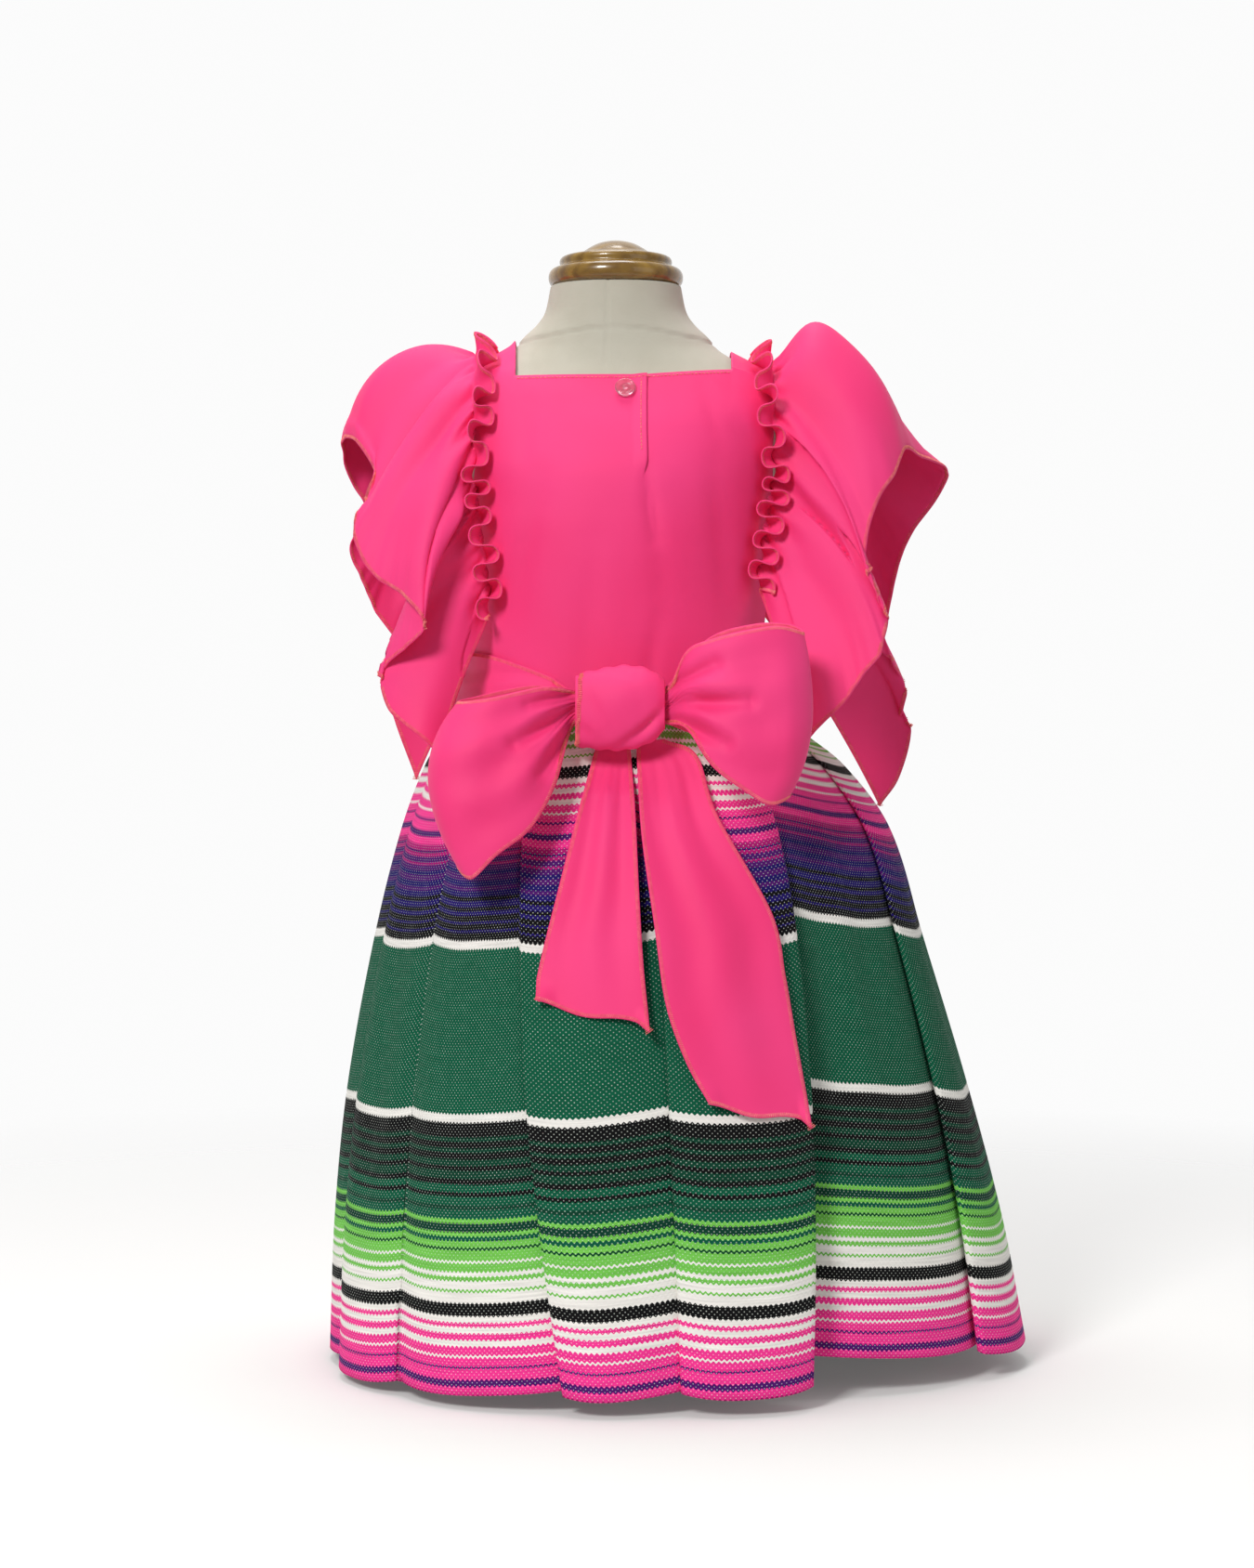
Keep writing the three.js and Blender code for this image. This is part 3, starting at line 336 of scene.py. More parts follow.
# The skirt: serape cloth in knife pleats, from a waist row to the hem.
waistHeight = 420
hemHeight = 12
skirtAxisX = 3
skirtProfile = rowsOf(
    "down left right back front",
    (0.00, 102, 97, 89, 89), (0.04, 113, 113, 95, 98), (0.10, 127, 144, 108, 114),
    (0.20, 142, 174, 131, 133), (0.37, 159, 195, 156, 151), (0.60, 176, 222, 177, 168),
    (0.80, 184, 242, 189, 180), (1.00, 187, 257, 197, 188),
)
backPleats = rowsOf(
    "waist hem over tucks steps",
    (-72, -70, 1, (7, 14), (4.6, 9)), (-50, -43, 1, (9, -6), (4.6, 0)), (-31, -10, 1, (9, 24), (4.6, 13)),
    (8, 10.7, 1, (11, 22), (4.6, 12)), (44, 33.6, -1, (10, 26), (4.6, 40)), (70, 67, 1, (8, 18), (4.6, 12)),
)
frontPleats = rowsOf(
    "waist hem over tucks steps",
    (102, 103, 1, (8, 20), (4.6, 13)), (126, 124, 1, (9, 22), (4.6, 15)), (148, 146, 1, (9, 20), (4.6, 11)),
    (169, 168, 1, (9, 24), (4.6, 14)), (191, 192, -1, (9, 24), (4.6, 14)),
    (212, 215, -1, (9, 20), (4.6, 12)), (234, 237, -1, (9, 20), (4.6, 15)),
    (256, 257, -1, (8, 18), (4.6, 12)),
)
# A pair is a size at the waist and at the hem. The bulge is how far a panel stands out between two folds.
skirtMake = {
    "rows": 110, "rowSpread": 1.15, "panelSteps": 22, "bendSteps": 4, "thickness": 1.0, "bulges": (1.5, 8),
    "bulgePower": 2.6, "bends": (1.2, 2.5), "seamDepths": (2.3, 5), "stepPower": 1.3, "stepShare": 0.55,
    "hemTilt": 4.5, "foldLift": 0.4, "seamGap": 0.3, "creaseShare": 0.9, "slowDepth": 1.2,
}
# Soft troughs: the angle at the top and bottom, how far down they run, and their size.
skirtCreases = rowsOf(
    "from to start end wide deep",
    (52, 44, 0.10, 0.80, 5, 7), (-62, -56, 0.05, 0.90, 6, 5), (-20, -26, 0.05, 0.55, 5, 3.5),
    (-8, -3, 0.02, 0.35, 4, 3), (24, 22, 0.08, 0.95, 6, 4), (62, 54, 0.06, 0.70, 4, 4),
    (82, 78, 0.05, 0.85, 5, 4), (114, 113, 0.05, 0.85, 6, 4), (138, 134, 0.05, 0.65, 5, 4),
    (158, 158, 0.05, 0.95, 6, 4), (180, 179, 0.05, 0.75, 6, 3.5), (203, 204, 0.05, 0.90, 6, 4),
    (224, 227, 0.05, 0.60, 5, 4), (246, 248, 0.05, 0.90, 6, 4),
)


def skirtSides(down):
    return [smooth(skirtProfile, side, down, "down") for side in ("left", "right", "back", "front")]


def skirtRadius(angle, down):
    left, right, back, front = skirtSides(down)
    side = np.where(np.sin(angle) < 0, left, right)
    face = np.where(np.cos(angle) > 0, back, front)
    return 1 / np.hypot(np.sin(angle) / side, np.cos(angle) / face)


def mix(pair, part):
    return pair[0] + (pair[1] - pair[0]) * part


# One level of half the skirt as angles and depths under its outer surface, fold by fold.
def pleatLine(pleats, start, end, down):
    seamDepth = mix(skirtMake["seamDepths"], down)
    bend = mix(skirtMake["bends"], down)
    halfGap = skirtMake["seamGap"] / 2
    line = [(start + halfGap / float(skirtRadius(start, down)), seamDepth)]
    stops = []
    for pleat in pleats:
        edge = mix((pleat["waist"], pleat["hem"]), down) * degree
        size = float(skirtRadius(edge, down))
        tuck = mix(pleat["tucks"], down) / size
        step = mix(pleat["steps"], down ** skirtMake["stepPower"])
        turn = min(bend, skirtMake["stepShare"] * step) / size
        over = pleat["over"]
        fold = roundBend(edge, over * turn, 0, step / 2)
        fold += roundBend(edge + over * tuck, -over * turn, step / 2, step)
        stops.append(fold[::-1] if over > 0 else fold)
    for fold in stops + [[(end - halfGap / float(skirtRadius(end, down)), seamDepth)]]:
        addPanel(line, fold[0], down)
        line += fold
    return line


# A half round from one layer to the next, its tip at the fold's edge.
def roundBend(tip, turn, shallow, deep):
    points = []
    for k in range(skirtMake["bendSteps"] + 1):
        swing = math.pi * k / skirtMake["bendSteps"]
        depth = shallow + (deep - shallow) * (1 - math.cos(swing)) / 2
        points.append((tip + turn * (1 - math.sin(swing)), depth))
    return points


def addPanel(line, end, down):
    start = line[-1]
    steps = skirtMake["panelSteps"]
    for k in range(1, steps):
        part = k / steps
        bulge = mix(skirtMake["bulges"], down) * (1 - abs(2 * part - 1) ** skirtMake["bulgePower"])
        depth = mix((start[1], end[1]), part * part * (3 - 2 * part)) - bulge
        line.append((mix((start[0], end[0]), part), depth))


def makeSkirtGrid(pleats, start, end):
    downs = np.linspace(0, 1, skirtMake["rows"]) ** skirtMake["rowSpread"]
    lines = np.array([pleatLine(pleats, start * degree, end * degree, down) for down in downs])
    angle = lines[..., 0]
    depth = lines[..., 1].copy()
    down = np.repeat(downs[:, None], angle.shape[1], axis=1)
    depth += skirtFolds(angle, down) * ease(0.0, 0.12, down)
    hem = hemHeight + skirtMake["hemTilt"] * np.sin(angle) + skirtMake["foldLift"] * lines[..., 1]
    top = waistHeight - skirtMake["seamGap"]
    return around(angle, skirtRadius(angle, down) - depth, top + (hem - top) * down, skirtAxisX)


# The listed troughs and a slow unevenness that no two panels share.
def skirtFolds(angle, down):
    total = np.zeros_like(angle)
    for crease in skirtCreases:
        share = ease(crease["start"] - 0.05, crease["end"], down)
        centre = mix((crease["from"], crease["to"]), down) * degree
        way = (down - crease["start"]) / (crease["end"] - crease["start"])
        strength = np.sin(np.pi * np.clip(way, 0, 1))
        gap = (angle - centre) / (crease["wide"] * degree)
        total += crease["deep"] * strength * np.exp(-gap * gap) * (0.7 + 0.3 * share)
    slow = wander(angle / (2 * math.pi) + 0.11 * down, 3, 9) * skirtMake["slowDepth"]
    return total * skirtMake["creaseShare"] + slow * down


# The serape stripes from the hem up, in millimetres, as one repeat of the cloth.
serapeColours = {
    "pink": "#ee3590",
    "rose": "#a81870",
    "plum": "#4c1468",
    "indigo": "#1e1262",
    "black": "#0b0b0d",
    "white": "#e9e6e0",
    "leaf": "#70c04e",
    "green": "#07563c",
    "pine": "#073d2b",
}
serapeStripes = [
    ("pink", 4.7), ("plum", 3.3), ("pink", 6.7), ("plum", 1.4), ("pink", 5.4), ("white", 1.5),
    ("pink", 5.4), ("white", 2.8), ("pink", 4.2), ("white", 4.6), ("pink", 2.0), ("white", 4.5),
    ("black", 7.5), ("white", 5.5), ("leaf", 1.5), ("white", 5.0), ("leaf", 2.5), ("white", 3.4),
    ("leaf", 4.6), ("white", 2.0), ("leaf", 5.5), ("pine", 1.5), ("leaf", 4.0), ("green", 3.5),
    ("leaf", 2.0), ("pine", 5.0), ("leaf", 2.5), ("green", 6.0), ("pine", 1.6), ("green", 5.8),
    ("black", 2.6), ("green", 4.8), ("black", 3.2), ("pine", 4.2), ("black", 3.0), ("pine", 3.4),
    ("black", 3.8), ("pine", 2.6), ("black", 4.6), ("pine", 2.0), ("black", 9.7), ("white", 5.0),
    ("green", 100.0), ("white", 4.2), ("black", 5.0), ("indigo", 1.4), ("black", 4.0), ("indigo", 2.0),
    ("black", 3.4), ("indigo", 2.8), ("black", 2.4), ("indigo", 4.4), ("black", 1.6), ("indigo", 5.0),
    ("plum", 2.4), ("indigo", 3.4), ("plum", 4.2), ("indigo", 1.8), ("plum", 4.6), ("rose", 1.6),
    ("plum", 3.4), ("rose", 2.2), ("indigo", 1.6), ("rose", 4.6),
]
# The warps' pitch, the scallops of the stripes' edges and the weft's drift are in millimetres.
serapeWeave = {"warpPitch": 3.1, "scallop": 0.6, "fleck": "#e2e8de", "fleckStrength": 1.15, "drift": 3.6}


# Two ramps of flat colours hold the stripes, because one ramp holds 32 stops.
def stripeColour(tree, height):
    total = sum(width for _, width in serapeStripes)
    place = addNode(tree, "ShaderNodeMath", {0: height, 1: 1 / (total * mm)}, operation="MULTIPLY")
    place = addNode(tree, "ShaderNodeMath", {0: place}, operation="FRACT")
    starts = runningSum([width for _, width in serapeStripes]) / total
    halfway = len(serapeStripes) // 2
    colours = []
    for first, last in ((0, halfway), (halfway, len(serapeStripes))):
        ramp = addNode(tree, "ShaderNodeValToRGB", {0: place}, out=None)
        ramp.color_ramp.interpolation = "CONSTANT"
        stops = ramp.color_ramp.elements
        for k in range(first, last):
            stop = stops[k - first] if k - first < 2 else stops.new(starts[k])
            stop.position = starts[k]
            stop.color = linear(serapeColours[serapeStripes[k][0]])
        colours.append(ramp.outputs[0])
    upper = addNode(tree, "ShaderNodeMath", {0: place, 1: starts[halfway]}, operation="GREATER_THAN")
    return addNode(tree, "ShaderNodeMix", {0: upper, 6: colours[0], 7: colours[1]}, out=2, data_type="RGBA")


# Handloom serape: thick weft beaten over a cotton warp, so stripes have scalloped edges and pale flecks.
def serapeCotton():
    material, tree, shader = newMaterial("weft-faced serape cotton")
    cloth, parts, turns = threadTurns(tree, [serapeWeave["warpPitch"]] * 2)
    waves = [addNode(tree, "ShaderNodeMath", {0: turn}, operation="COSINE") for turn in turns]
    knots = addNode(tree, "ShaderNodeMath", {0: waves[0], 1: waves[1]}, operation="MULTIPLY")
    # The weft doesn't lie quite level: it drifts over some centimetres.
    drift = addNode(tree, "ShaderNodeTexNoise", {"Vector": cloth, "Scale": 12.0, "Detail": 1.0})
    drift = addNode(tree, "ShaderNodeMath", {0: drift, 1: 0.5}, operation="SUBTRACT")
    wavy = {0: waves[0], 1: serapeWeave["scallop"] * mm, 2: parts[1]}
    height = addNode(tree, "ShaderNodeMath", wavy, operation="MULTIPLY_ADD")
    driftSize = serapeWeave["drift"] * mm
    height = addNode(tree, "ShaderNodeMath", {0: drift, 1: driftSize, 2: height}, operation="MULTIPLY_ADD")
    stripes = stripeColour(tree, height)
    # Each weft thread has its own depth of dye.
    threads = addNode(tree, "ShaderNodeMapping", {"Vector": cloth, "Scale": (30, 800, 1)})
    dye = addNode(tree, "ShaderNodeTexNoise", {"Vector": threads, "Scale": 1.0, "Detail": 2.0})
    dye = addNode(tree, "ShaderNodeMapRange", {0: dye, 1: 0.3, 2: 0.7, 3: 0.86, 4: 1.1})
    dyed = addNode(tree, "ShaderNodeVectorMath", {0: stripes, "Scale": dye}, operation="SCALE")
    levels = {1: 0.68, 2: 0.97, 3: 0.0, 4: serapeWeave["fleckStrength"]}
    fleck = addNode(tree, "ShaderNodeMapRange", {0: knots, **levels})
    faded = addNode(tree, "ShaderNodeTexNoise", {"Vector": cloth, "Scale": 150.0, "Detail": 2.0})
    fleck = addNode(tree, "ShaderNodeMath", {0: fleck, 1: faded}, operation="MULTIPLY")
    colour = addNode(
        tree, "ShaderNodeMix", {0: fleck, 6: dyed, 7: linear(serapeWeave["fleck"])}, out=2, data_type="RGBA"
    )
    ribs = addNode(tree, "ShaderNodeMath", {0: knots, 1: 0.6, 2: dye}, operation="MULTIPLY_ADD")
    bump = addNode(tree, "ShaderNodeBump", {"Strength": 0.55, "Distance": 0.35 * mm, "Height": ribs})
    finish = {"Base Color": colour, "Normal": bump, "Roughness": 0.92, "Specular IOR Level": 0.15}
    setInputs(tree, shader, finish)
    return material


poplin = {"dyes": ("#f23578", "#f53e82"), "thread": 0.55, "crumple": 45}


# Pressed poplin: a flat weave of fine threads with a soft gleam on the crown of each fold.
def pinkPoplin():
    material, tree, shader = newMaterial("hot pink cotton-blend poplin")
    # Real threads are 0.2 mm apart; they are drawn coarser so that they show at all.
    turns = threadTurns(tree, [poplin["thread"]] * 2)[2]
    waves = [addNode(tree, "ShaderNodeMath", {0: turn}, operation="SINE") for turn in turns]
    weave = addNode(tree, "ShaderNodeMath", {0: waves[0], 1: waves[1]}, operation="MULTIPLY")
    slow, dyed = mottle(tree, {"Scale": 12.0, "Detail": 1.5, "Roughness": 0.4}, poplin["dyes"], (0.35, 0.65))
    place = addNode(tree, "ShaderNodeTexCoord", out=3)
    creased = {"Vector": place, "Scale": 1 / (poplin["crumple"] * mm), "Detail": 2.5, "Roughness": 0.45}
    crumple = addNode(tree, "ShaderNodeTexNoise", creased)
    threads = addNode(tree, "ShaderNodeBump", {"Strength": 0.25, "Distance": 0.08 * mm, "Height": weave})
    bump = addNode(
        tree, "ShaderNodeBump", {"Strength": 0.3, "Distance": 2.0 * mm, "Height": crumple, "Normal": threads}
    )
    gloss = addNode(tree, "ShaderNodeMapRange", {0: slow, 1: 0.3, 2: 0.7, 3: 0.56, 4: 0.68})
    setInputs(tree, shader, {"Base Color": dyed, "Normal": bump, "Roughness": gloss})
    sheen = {"Sheen Weight": 0.08, "Sheen Roughness": 0.35, "Sheen Tint": linear("#ff9cc4")}
    setInputs(tree, shader, {"Specular IOR Level": 0.3, **sheen})
    return material


# Knitted jersey over padding: matt, with fine upright ribs of loops.
def creamJersey():
    material, tree, shader = newMaterial("cream cotton jersey over padding")
    # Loops are 0.7 mm apart in the real knit and drawn 1.1 mm apart.
    turns = threadTurns(tree, (1.1, 0.8))[2]
    column = addNode(tree, "ShaderNodeMath", {0: turns[0]}, operation="SINE")
    slant = addNode(tree, "ShaderNodeMath", {0: column, 1: 1.4, 2: turns[1]}, operation="MULTIPLY_ADD")
    loops = addNode(tree, "ShaderNodeMath", {0: slant}, operation="SINE")
    knit = addNode(tree, "ShaderNodeMath", {0: loops, 1: column}, operation="ADD")
    cloud = {"Scale": 14.0, "Detail": 4.0, "Roughness": 0.6}
    stains, colour = mottle(tree, cloud, ("#b9b4a3", "#c8c4b5"), (0.3, 0.7))
    fine = addNode(tree, "ShaderNodeBump", {"Strength": 0.35, "Distance": 0.15 * mm, "Height": knit})
    padding = {"Strength": 0.4, "Distance": 1.5 * mm, "Height": stains, "Normal": fine}
    soft = addNode(tree, "ShaderNodeBump", padding)
    setInputs(tree, shader, {"Base Color": colour, "Normal": soft, "Roughness": 0.9, "Sheen Weight": 0.15})
    return material


# Turned beech under amber varnish: soft streaky grain under a wet gleam.
def varnishedBeech():
    material, tree, shader = newMaterial("turned beech with amber varnish")
    place = addNode(tree, "ShaderNodeTexCoord", out=3)
    stretched = addNode(tree, "ShaderNodeMapping", {"Vector": place, "Scale": (35, 120, 90)})
    streaks = {"Vector": stretched, "Scale": 1.0, "Detail": 5.0, "Roughness": 0.6}
    grain = addNode(tree, "ShaderNodeTexNoise", streaks)
    rings = addNode(
        tree,
        "ShaderNodeTexWave",
        {"Vector": place, "Scale": 45.0, "Distortion": 5.0, "Detail": 3.0, "Detail Scale": 1.2},
        out=1,
        bands_direction="Y",
    )
    both = addNode(tree, "ShaderNodeMath", {0: rings, 1: 0.16, 2: grain}, operation="MULTIPLY_ADD")
    ramp = addNode(tree, "ShaderNodeValToRGB", {0: both}, out=None)
    for stop, place, colour in zip(ramp.color_ramp.elements, (0.38, 0.86), ("#684a1c", "#98762f")):
        stop.position = place
        stop.color = linear(colour)
    bump = addNode(tree, "ShaderNodeBump", {"Strength": 0.08, "Distance": 0.1 * mm, "Height": grain})
    rough = addNode(tree, "ShaderNodeMapRange", {0: grain, 1: 0.3, 2: 0.7, 3: 0.22, 4: 0.32})
    setInputs(tree, shader, {"Base Color": ramp.outputs[0], "Normal": bump, "Roughness": rough})
    setInputs(tree, shader, {"Coat Weight": 0.45, "Coat Roughness": 0.06})
    return material


# Moulded clear polycarbonate: the cloth's pink shows through, and the same pink is also painted into the
# plastic's colour as a tint, with bright rims.
def clearSnapPlastic():
    material, tree, shader = newMaterial("moulded clear polycarbonate")
    # Painted show-through: this pink tint stands in for the pink cloth seen through the clear plastic; it is
    # not the plastic's own colour.
    flow, paintedClothPink = mottle(tree, {"Scale": 300.0, "Detail": 2.0}, ("#f3a9c2", "#f8c6d6"))
    rough = addNode(tree, "ShaderNodeMapRange", {0: flow, 1: 0.3, 2: 0.7, 3: 0.04, 4: 0.12})
    setInputs(tree, shader, {"Base Color": paintedClothPink, "Roughness": rough})
    setInputs(tree, shader, {"IOR": 1.58, "Transmission Weight": 0.88})
    return material


# Powder-coated steel: satin dark brown with a slight orange-peel skin.
def coatedSteel():
    material, tree, shader = newMaterial("powder-coated steel")
    place = addNode(tree, "ShaderNodeTexCoord", out=3)
    peel = addNode(tree, "ShaderNodeTexNoise", {"Vector": place, "Scale": 700.0, "Detail": 2.0})
    patches, colour = mottle(tree, {"Scale": 30.0, "Detail": 4.0}, ("#2f2b27", "#453f39"))
    bump = addNode(tree, "ShaderNodeBump", {"Strength": 0.3, "Distance": 0.1 * mm, "Height": peel})
    rough = addNode(tree, "ShaderNodeMapRange", {0: patches, 1: 0.3, 2: 0.7, 3: 0.42, 4: 0.55})
    setInputs(tree, shader, {"Base Color": colour, "Normal": bump, "Roughness": rough, "Metallic": 0.1})
    return material


# Spun polyester thread: a soft gleam, its dye a little uneven from stitch to stitch.
def polyesterThread(name, dark, pale):
    material, tree, shader = newMaterial(name)
    spots, colour = mottle(tree, {"Scale": 420.0, "Detail": 2.0}, (dark, pale), (0.35, 0.65))
    bump = addNode(tree, "ShaderNodeBump", {"Strength": 0.4, "Distance": 0.1 * mm, "Height": spots})
    setInputs(tree, shader, {"Base Color": colour, "Normal": bump, "Roughness": 0.5, "Sheen Weight": 0.2})
    return material


# Thread: stitches laid along paths by geometry nodes, each a small spindle lying the way "lay" points.
def stitchTree(thread):
    tree = bpy.data.node_groups.new("stitches along a path", "GeometryNodeTree")
    tree.interface.new_socket("Path", in_out="INPUT", socket_type="NodeSocketGeometry")
    for label, start in (("Pitch", 0.0012), ("Length", 0.003), ("Width", 0.0006), ("Thickness", 0.0015)):
        socket = tree.interface.new_socket(label, in_out="INPUT", socket_type="NodeSocketFloat")
        socket.default_value = start
    tree.interface.new_socket("Stitches", in_out="OUTPUT", socket_type="NodeSocketGeometry")
    given = addNode(tree, "NodeGroupInput", out=None).outputs
    curve = addNode(tree, "GeometryNodeMeshToCurve", {"Mesh": given["Path"]})
    spaced = {"Curve": curve, "Length": given["Pitch"]}
    points = addNode(tree, "GeometryNodeCurveToPoints", spaced, out=None, mode="LENGTH")
    lay = addNode(tree, "GeometryNodeInputNamedAttribute", {"Name": "lay"}, data_type="FLOAT_VECTOR")
    turned = addNode(tree, "FunctionNodeAlignRotationToVector", {"Vector": lay}, axis="Z")
    turned = addNode(
        tree,
        "FunctionNodeAlignRotationToVector",
        {"Rotation": turned, "Vector": points.outputs["Tangent"]},
        axis="X",
        pivot_axis="Z",
    )
    spindle = addNode(tree, "GeometryNodeMeshUVSphere", {"Segments": 5, "Rings": 3, "Radius": 0.5})
    sides = {0: given["Width"], 1: given["Thickness"], 2: given["Length"]}
    size = addNode(tree, "ShaderNodeCombineXYZ", sides)
    laid = addNode(
        tree,
        "GeometryNodeInstanceOnPoints",
        {"Points": points.outputs["Points"], "Instance": spindle, "Rotation": turned, "Scale": size},
    )
    real = addNode(tree, "GeometryNodeRealizeInstances", {"Geometry": laid})
    done = addNode(tree, "GeometryNodeSetMaterial", {"Geometry": real, "Material": thread})
    addNode(tree, "NodeGroupOutput", {"Stitches": done}, out=None)
    return tree


# Sewing thread is about 0.3 mm thick; it is drawn thicker so that the stitches show.
overlock = {"Pitch": 1.15, "Length": 3.4, "Width": 0.75, "Thickness": 1.7, "inset": 1.5, "slant": 0.35}
topstitch = {"Pitch": 2.4, "Length": 1.9, "Width": 0.85, "Thickness": 1.0, "slant": 0.0}


# The four edges of a grid as paths just inside the edge, with the way their stitches lie.
def edgePaths(grid, edges, sizes):
    turned = grid.swapaxes(0, 1)
    turns = {"top": grid, "bottom": grid[::-1], "left": turned, "right": turned[::-1]}
    paths = []
    for edge in edges:
        rows = turns[edge]
        inward = unit(rows[2] - rows[0])
        tangent = unit(np.gradient(rows[0], axis=0))
        inward = unit(inward - tangent * np.sum(inward * tangent, axis=1, keepdims=True))
        paths.append((rows[0] + inward * sizes["inset"], unit(inward + tangent * sizes["slant"])))
    return paths


def sewStitches(name, paths, sizes, tree):
    points = np.concatenate([path for path, _ in paths]) * mm
    lays = np.concatenate([lay for _, lay in paths])
    edges = []
    start = 0
    for path, _ in paths:
        edges += [(k, k + 1) for k in range(start, start + len(path) - 1)]
        start += len(path)
    mesh = bpy.data.meshes.new(name + "_path")
    mesh.from_pydata(points.tolist(), edges, [])
    layer = mesh.attributes.new("lay", "FLOAT_VECTOR", "POINT")
    layer.data.foreach_set("vector", lays.astype(np.float32).ravel())
    path = bpy.data.objects.new(name + "_path", mesh)
    bpy.context.collection.objects.link(path)
    modifier = path.modifiers.new("stitches", "NODES")
    modifier.node_group = tree
    for item in tree.interface.items_tree:
        if item.in_out == "INPUT" and item.name in sizes:
            modifier[item.identifier] = sizes[item.name] * mm
    seen = path.evaluated_get(bpy.context.evaluated_depsgraph_get())
    made = bpy.data.objects.new(name, bpy.data.meshes.new_from_object(seen))
    bpy.context.collection.objects.link(made)
    bpy.data.objects.remove(path)
    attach(made, "root")
    return made


# The padded form in jersey, with its seams pulled in a little, and the turned cap on its neck.
# The neck's own cover laps a little over the shoulders' cover, from its seam up.
formMake = {
    "segments": 144, "rows": 220, "seamAngles": (-8, 172), "seamDepth": 0.8, "seamHalfWidth": 0.85,
    "neckSeamHeight": 652.5, "neckSeamRise": 3.8, "neckLap": 0.5, "lapStart": 0.8, "lapEnd": (24, 10),
}


def padForm(jersey):
    angle = np.linspace(0, 2 * math.pi, formMake["segments"] + 1)
    low = formSections[0]["z"]
    high = formSections[-1]["z"]
    z = low + (high - low) * np.linspace(0, 1, formMake["rows"])
    angles, heights = np.meshgrid(angle, z)
    radius = formRadius(angles, heights)
    groove = np.zeros_like(radius)
    for seam in formMake["seamAngles"]:
        gap = np.abs((angles - seam * degree + math.pi) % (2 * math.pi) - math.pi) * radius
        groove = np.maximum(groove, np.exp(-((gap / formMake["seamHalfWidth"]) ** 2)))
    ring = heights - formMake["neckSeamHeight"] - formMake["neckSeamRise"] * np.cos(2 * angles)
    lapped = formMake["neckLap"] * ease(0, formMake["lapStart"], ring)
    radius = radius + lapped * ease(*formMake["lapEnd"], ring)
    groove = np.maximum(groove, np.exp(-((ring / formMake["seamHalfWidth"]) ** 2)))
    grid = around(angles, radius - groove * formMake["seamDepth"], heights)
    hubs = [np.array([[0, 0, level]] * grid.shape[1], float) for level in (low, high)]
    lowEnd = [hubs[0] + (grid[0] - hubs[0]) * share for share in (0, 0.5, 0.9)]
    highEnd = [hubs[1] + (grid[-1] - hubs[1]) * share for share in (0.9, 0.5, 0)]
    grid = np.vstack([np.array(lowEnd), grid, np.array(highEnd)])
    piece = gridMesh("form_cover", grid, aroundJoins=True)
    finishPiece(piece, jersey, "form_torso")


capProfile = [
    (0, 0), (37, 0), (40.4, 0.6), (42.4, 2.2), (43.3, 5), (43.1, 8), (41.6, 10.6), (38.8, 12),
    (36.6, 12.6), (35.8, 13.6), (36.2, 15.2), (36.0, 17.2), (34.6, 18.8), (31, 19.6), (26, 20.2),
    (22.5, 21.6), (18.5, 24.4), (13, 27.4), (7, 29.2), (3, 29.7), (0, 29.8),
]


capMake = {"seat": 0.3, "segments": 96, "rows": 90}


def turnCap(wood):
    base = formSections[-1]["z"] + capMake["seat"]
    angle = np.linspace(0, 2 * math.pi, capMake["segments"] + 1)
    profile = np.array(capProfile, float)
    lengths = runningSum(np.linalg.norm(np.diff(profile, axis=0), axis=1))
    rows = [{"row": length, "radius": radius, "z": z} for length, (radius, z) in zip(lengths, profile)]
    place = np.linspace(0, lengths[-1], capMake["rows"])
    radius = np.maximum(smooth(rows, "radius", place), 0)
    angles, radii = np.meshgrid(angle, radius)
    heights = np.repeat((base + smooth(rows, "z", place))[:, None], len(angle), axis=1)
    cap = gridMesh("turned_neck_cap", around(angles, radii, heights), aroundJoins=True)
    finishPiece(cap, wood, "neck_cap")


def sewSkirt(serape):
    for name, pleats, start, end in (
        ("skirt_back", backPleats, -90, 90),
        ("skirt_front", frontPleats, 90, 270),
    ):
        grid = makeSkirtGrid(pleats, start, end)
        piece = gridMesh("pleated_" + name, grid, cloth=skirtLengths(grid))
        giveThickness(piece, skirtMake["thickness"])
        finishPiece(piece, serape, name)


# The stripes run level round the hem, so a pleat's lengths are measured up from it.
def skirtLengths(grid):
    lengths = clothLengths(grid)
    hem = np.linalg.norm(np.diff(grid[-1], axis=0), axis=1)
    lengths[..., 0] = runningSum(hem)
    return lengths


# The bodice: the cut's rows from the waist up, and where the armhole trims each.
clothOffset = 3.4
dressCentreX = 5
neckHalfWidth = 67
strapHalfWidth = 94
necklineHeight = 624
necklineRise = 6
slitX = 17
lowerRows = rowsOf(
    "z reach",
    (420.3, 90), (446, 90), (474, 90), (500, 90), (514, 83), (534, 72),
)
upperRows = rowsOf(
    "turn halfWidth",
    (0, 91), (20, 91), (36, 92), (None, 94), (62, 94), (71, 94), (80, 94), (89.7, 94),
)
# The bodice's slow unevenness has lengths across and down, a depth, and heights between which it sets in.
bodiceMake = {
    "columns": 190, "rowSteps": 8, "thickness": 0.9, "seamGap": 0.3, "slow": (190, 600), "slowDepth": 0.9,
    "slowHeights": (560, 425), "deepest": 2.2, "slitReach": 92, "stitchLift": 0.1, "hemShare": 0.98,
}
# The placket's left panel laps over the right one and ends in a soft fold.
placket = {
    "lap": 2.2, "lift": 1.3, "blend": 7, "stitchIn": 3, "stitchClear": 3, "hemRows": 1, "foot": (556, 568),
    "fadeRows": 2,
}
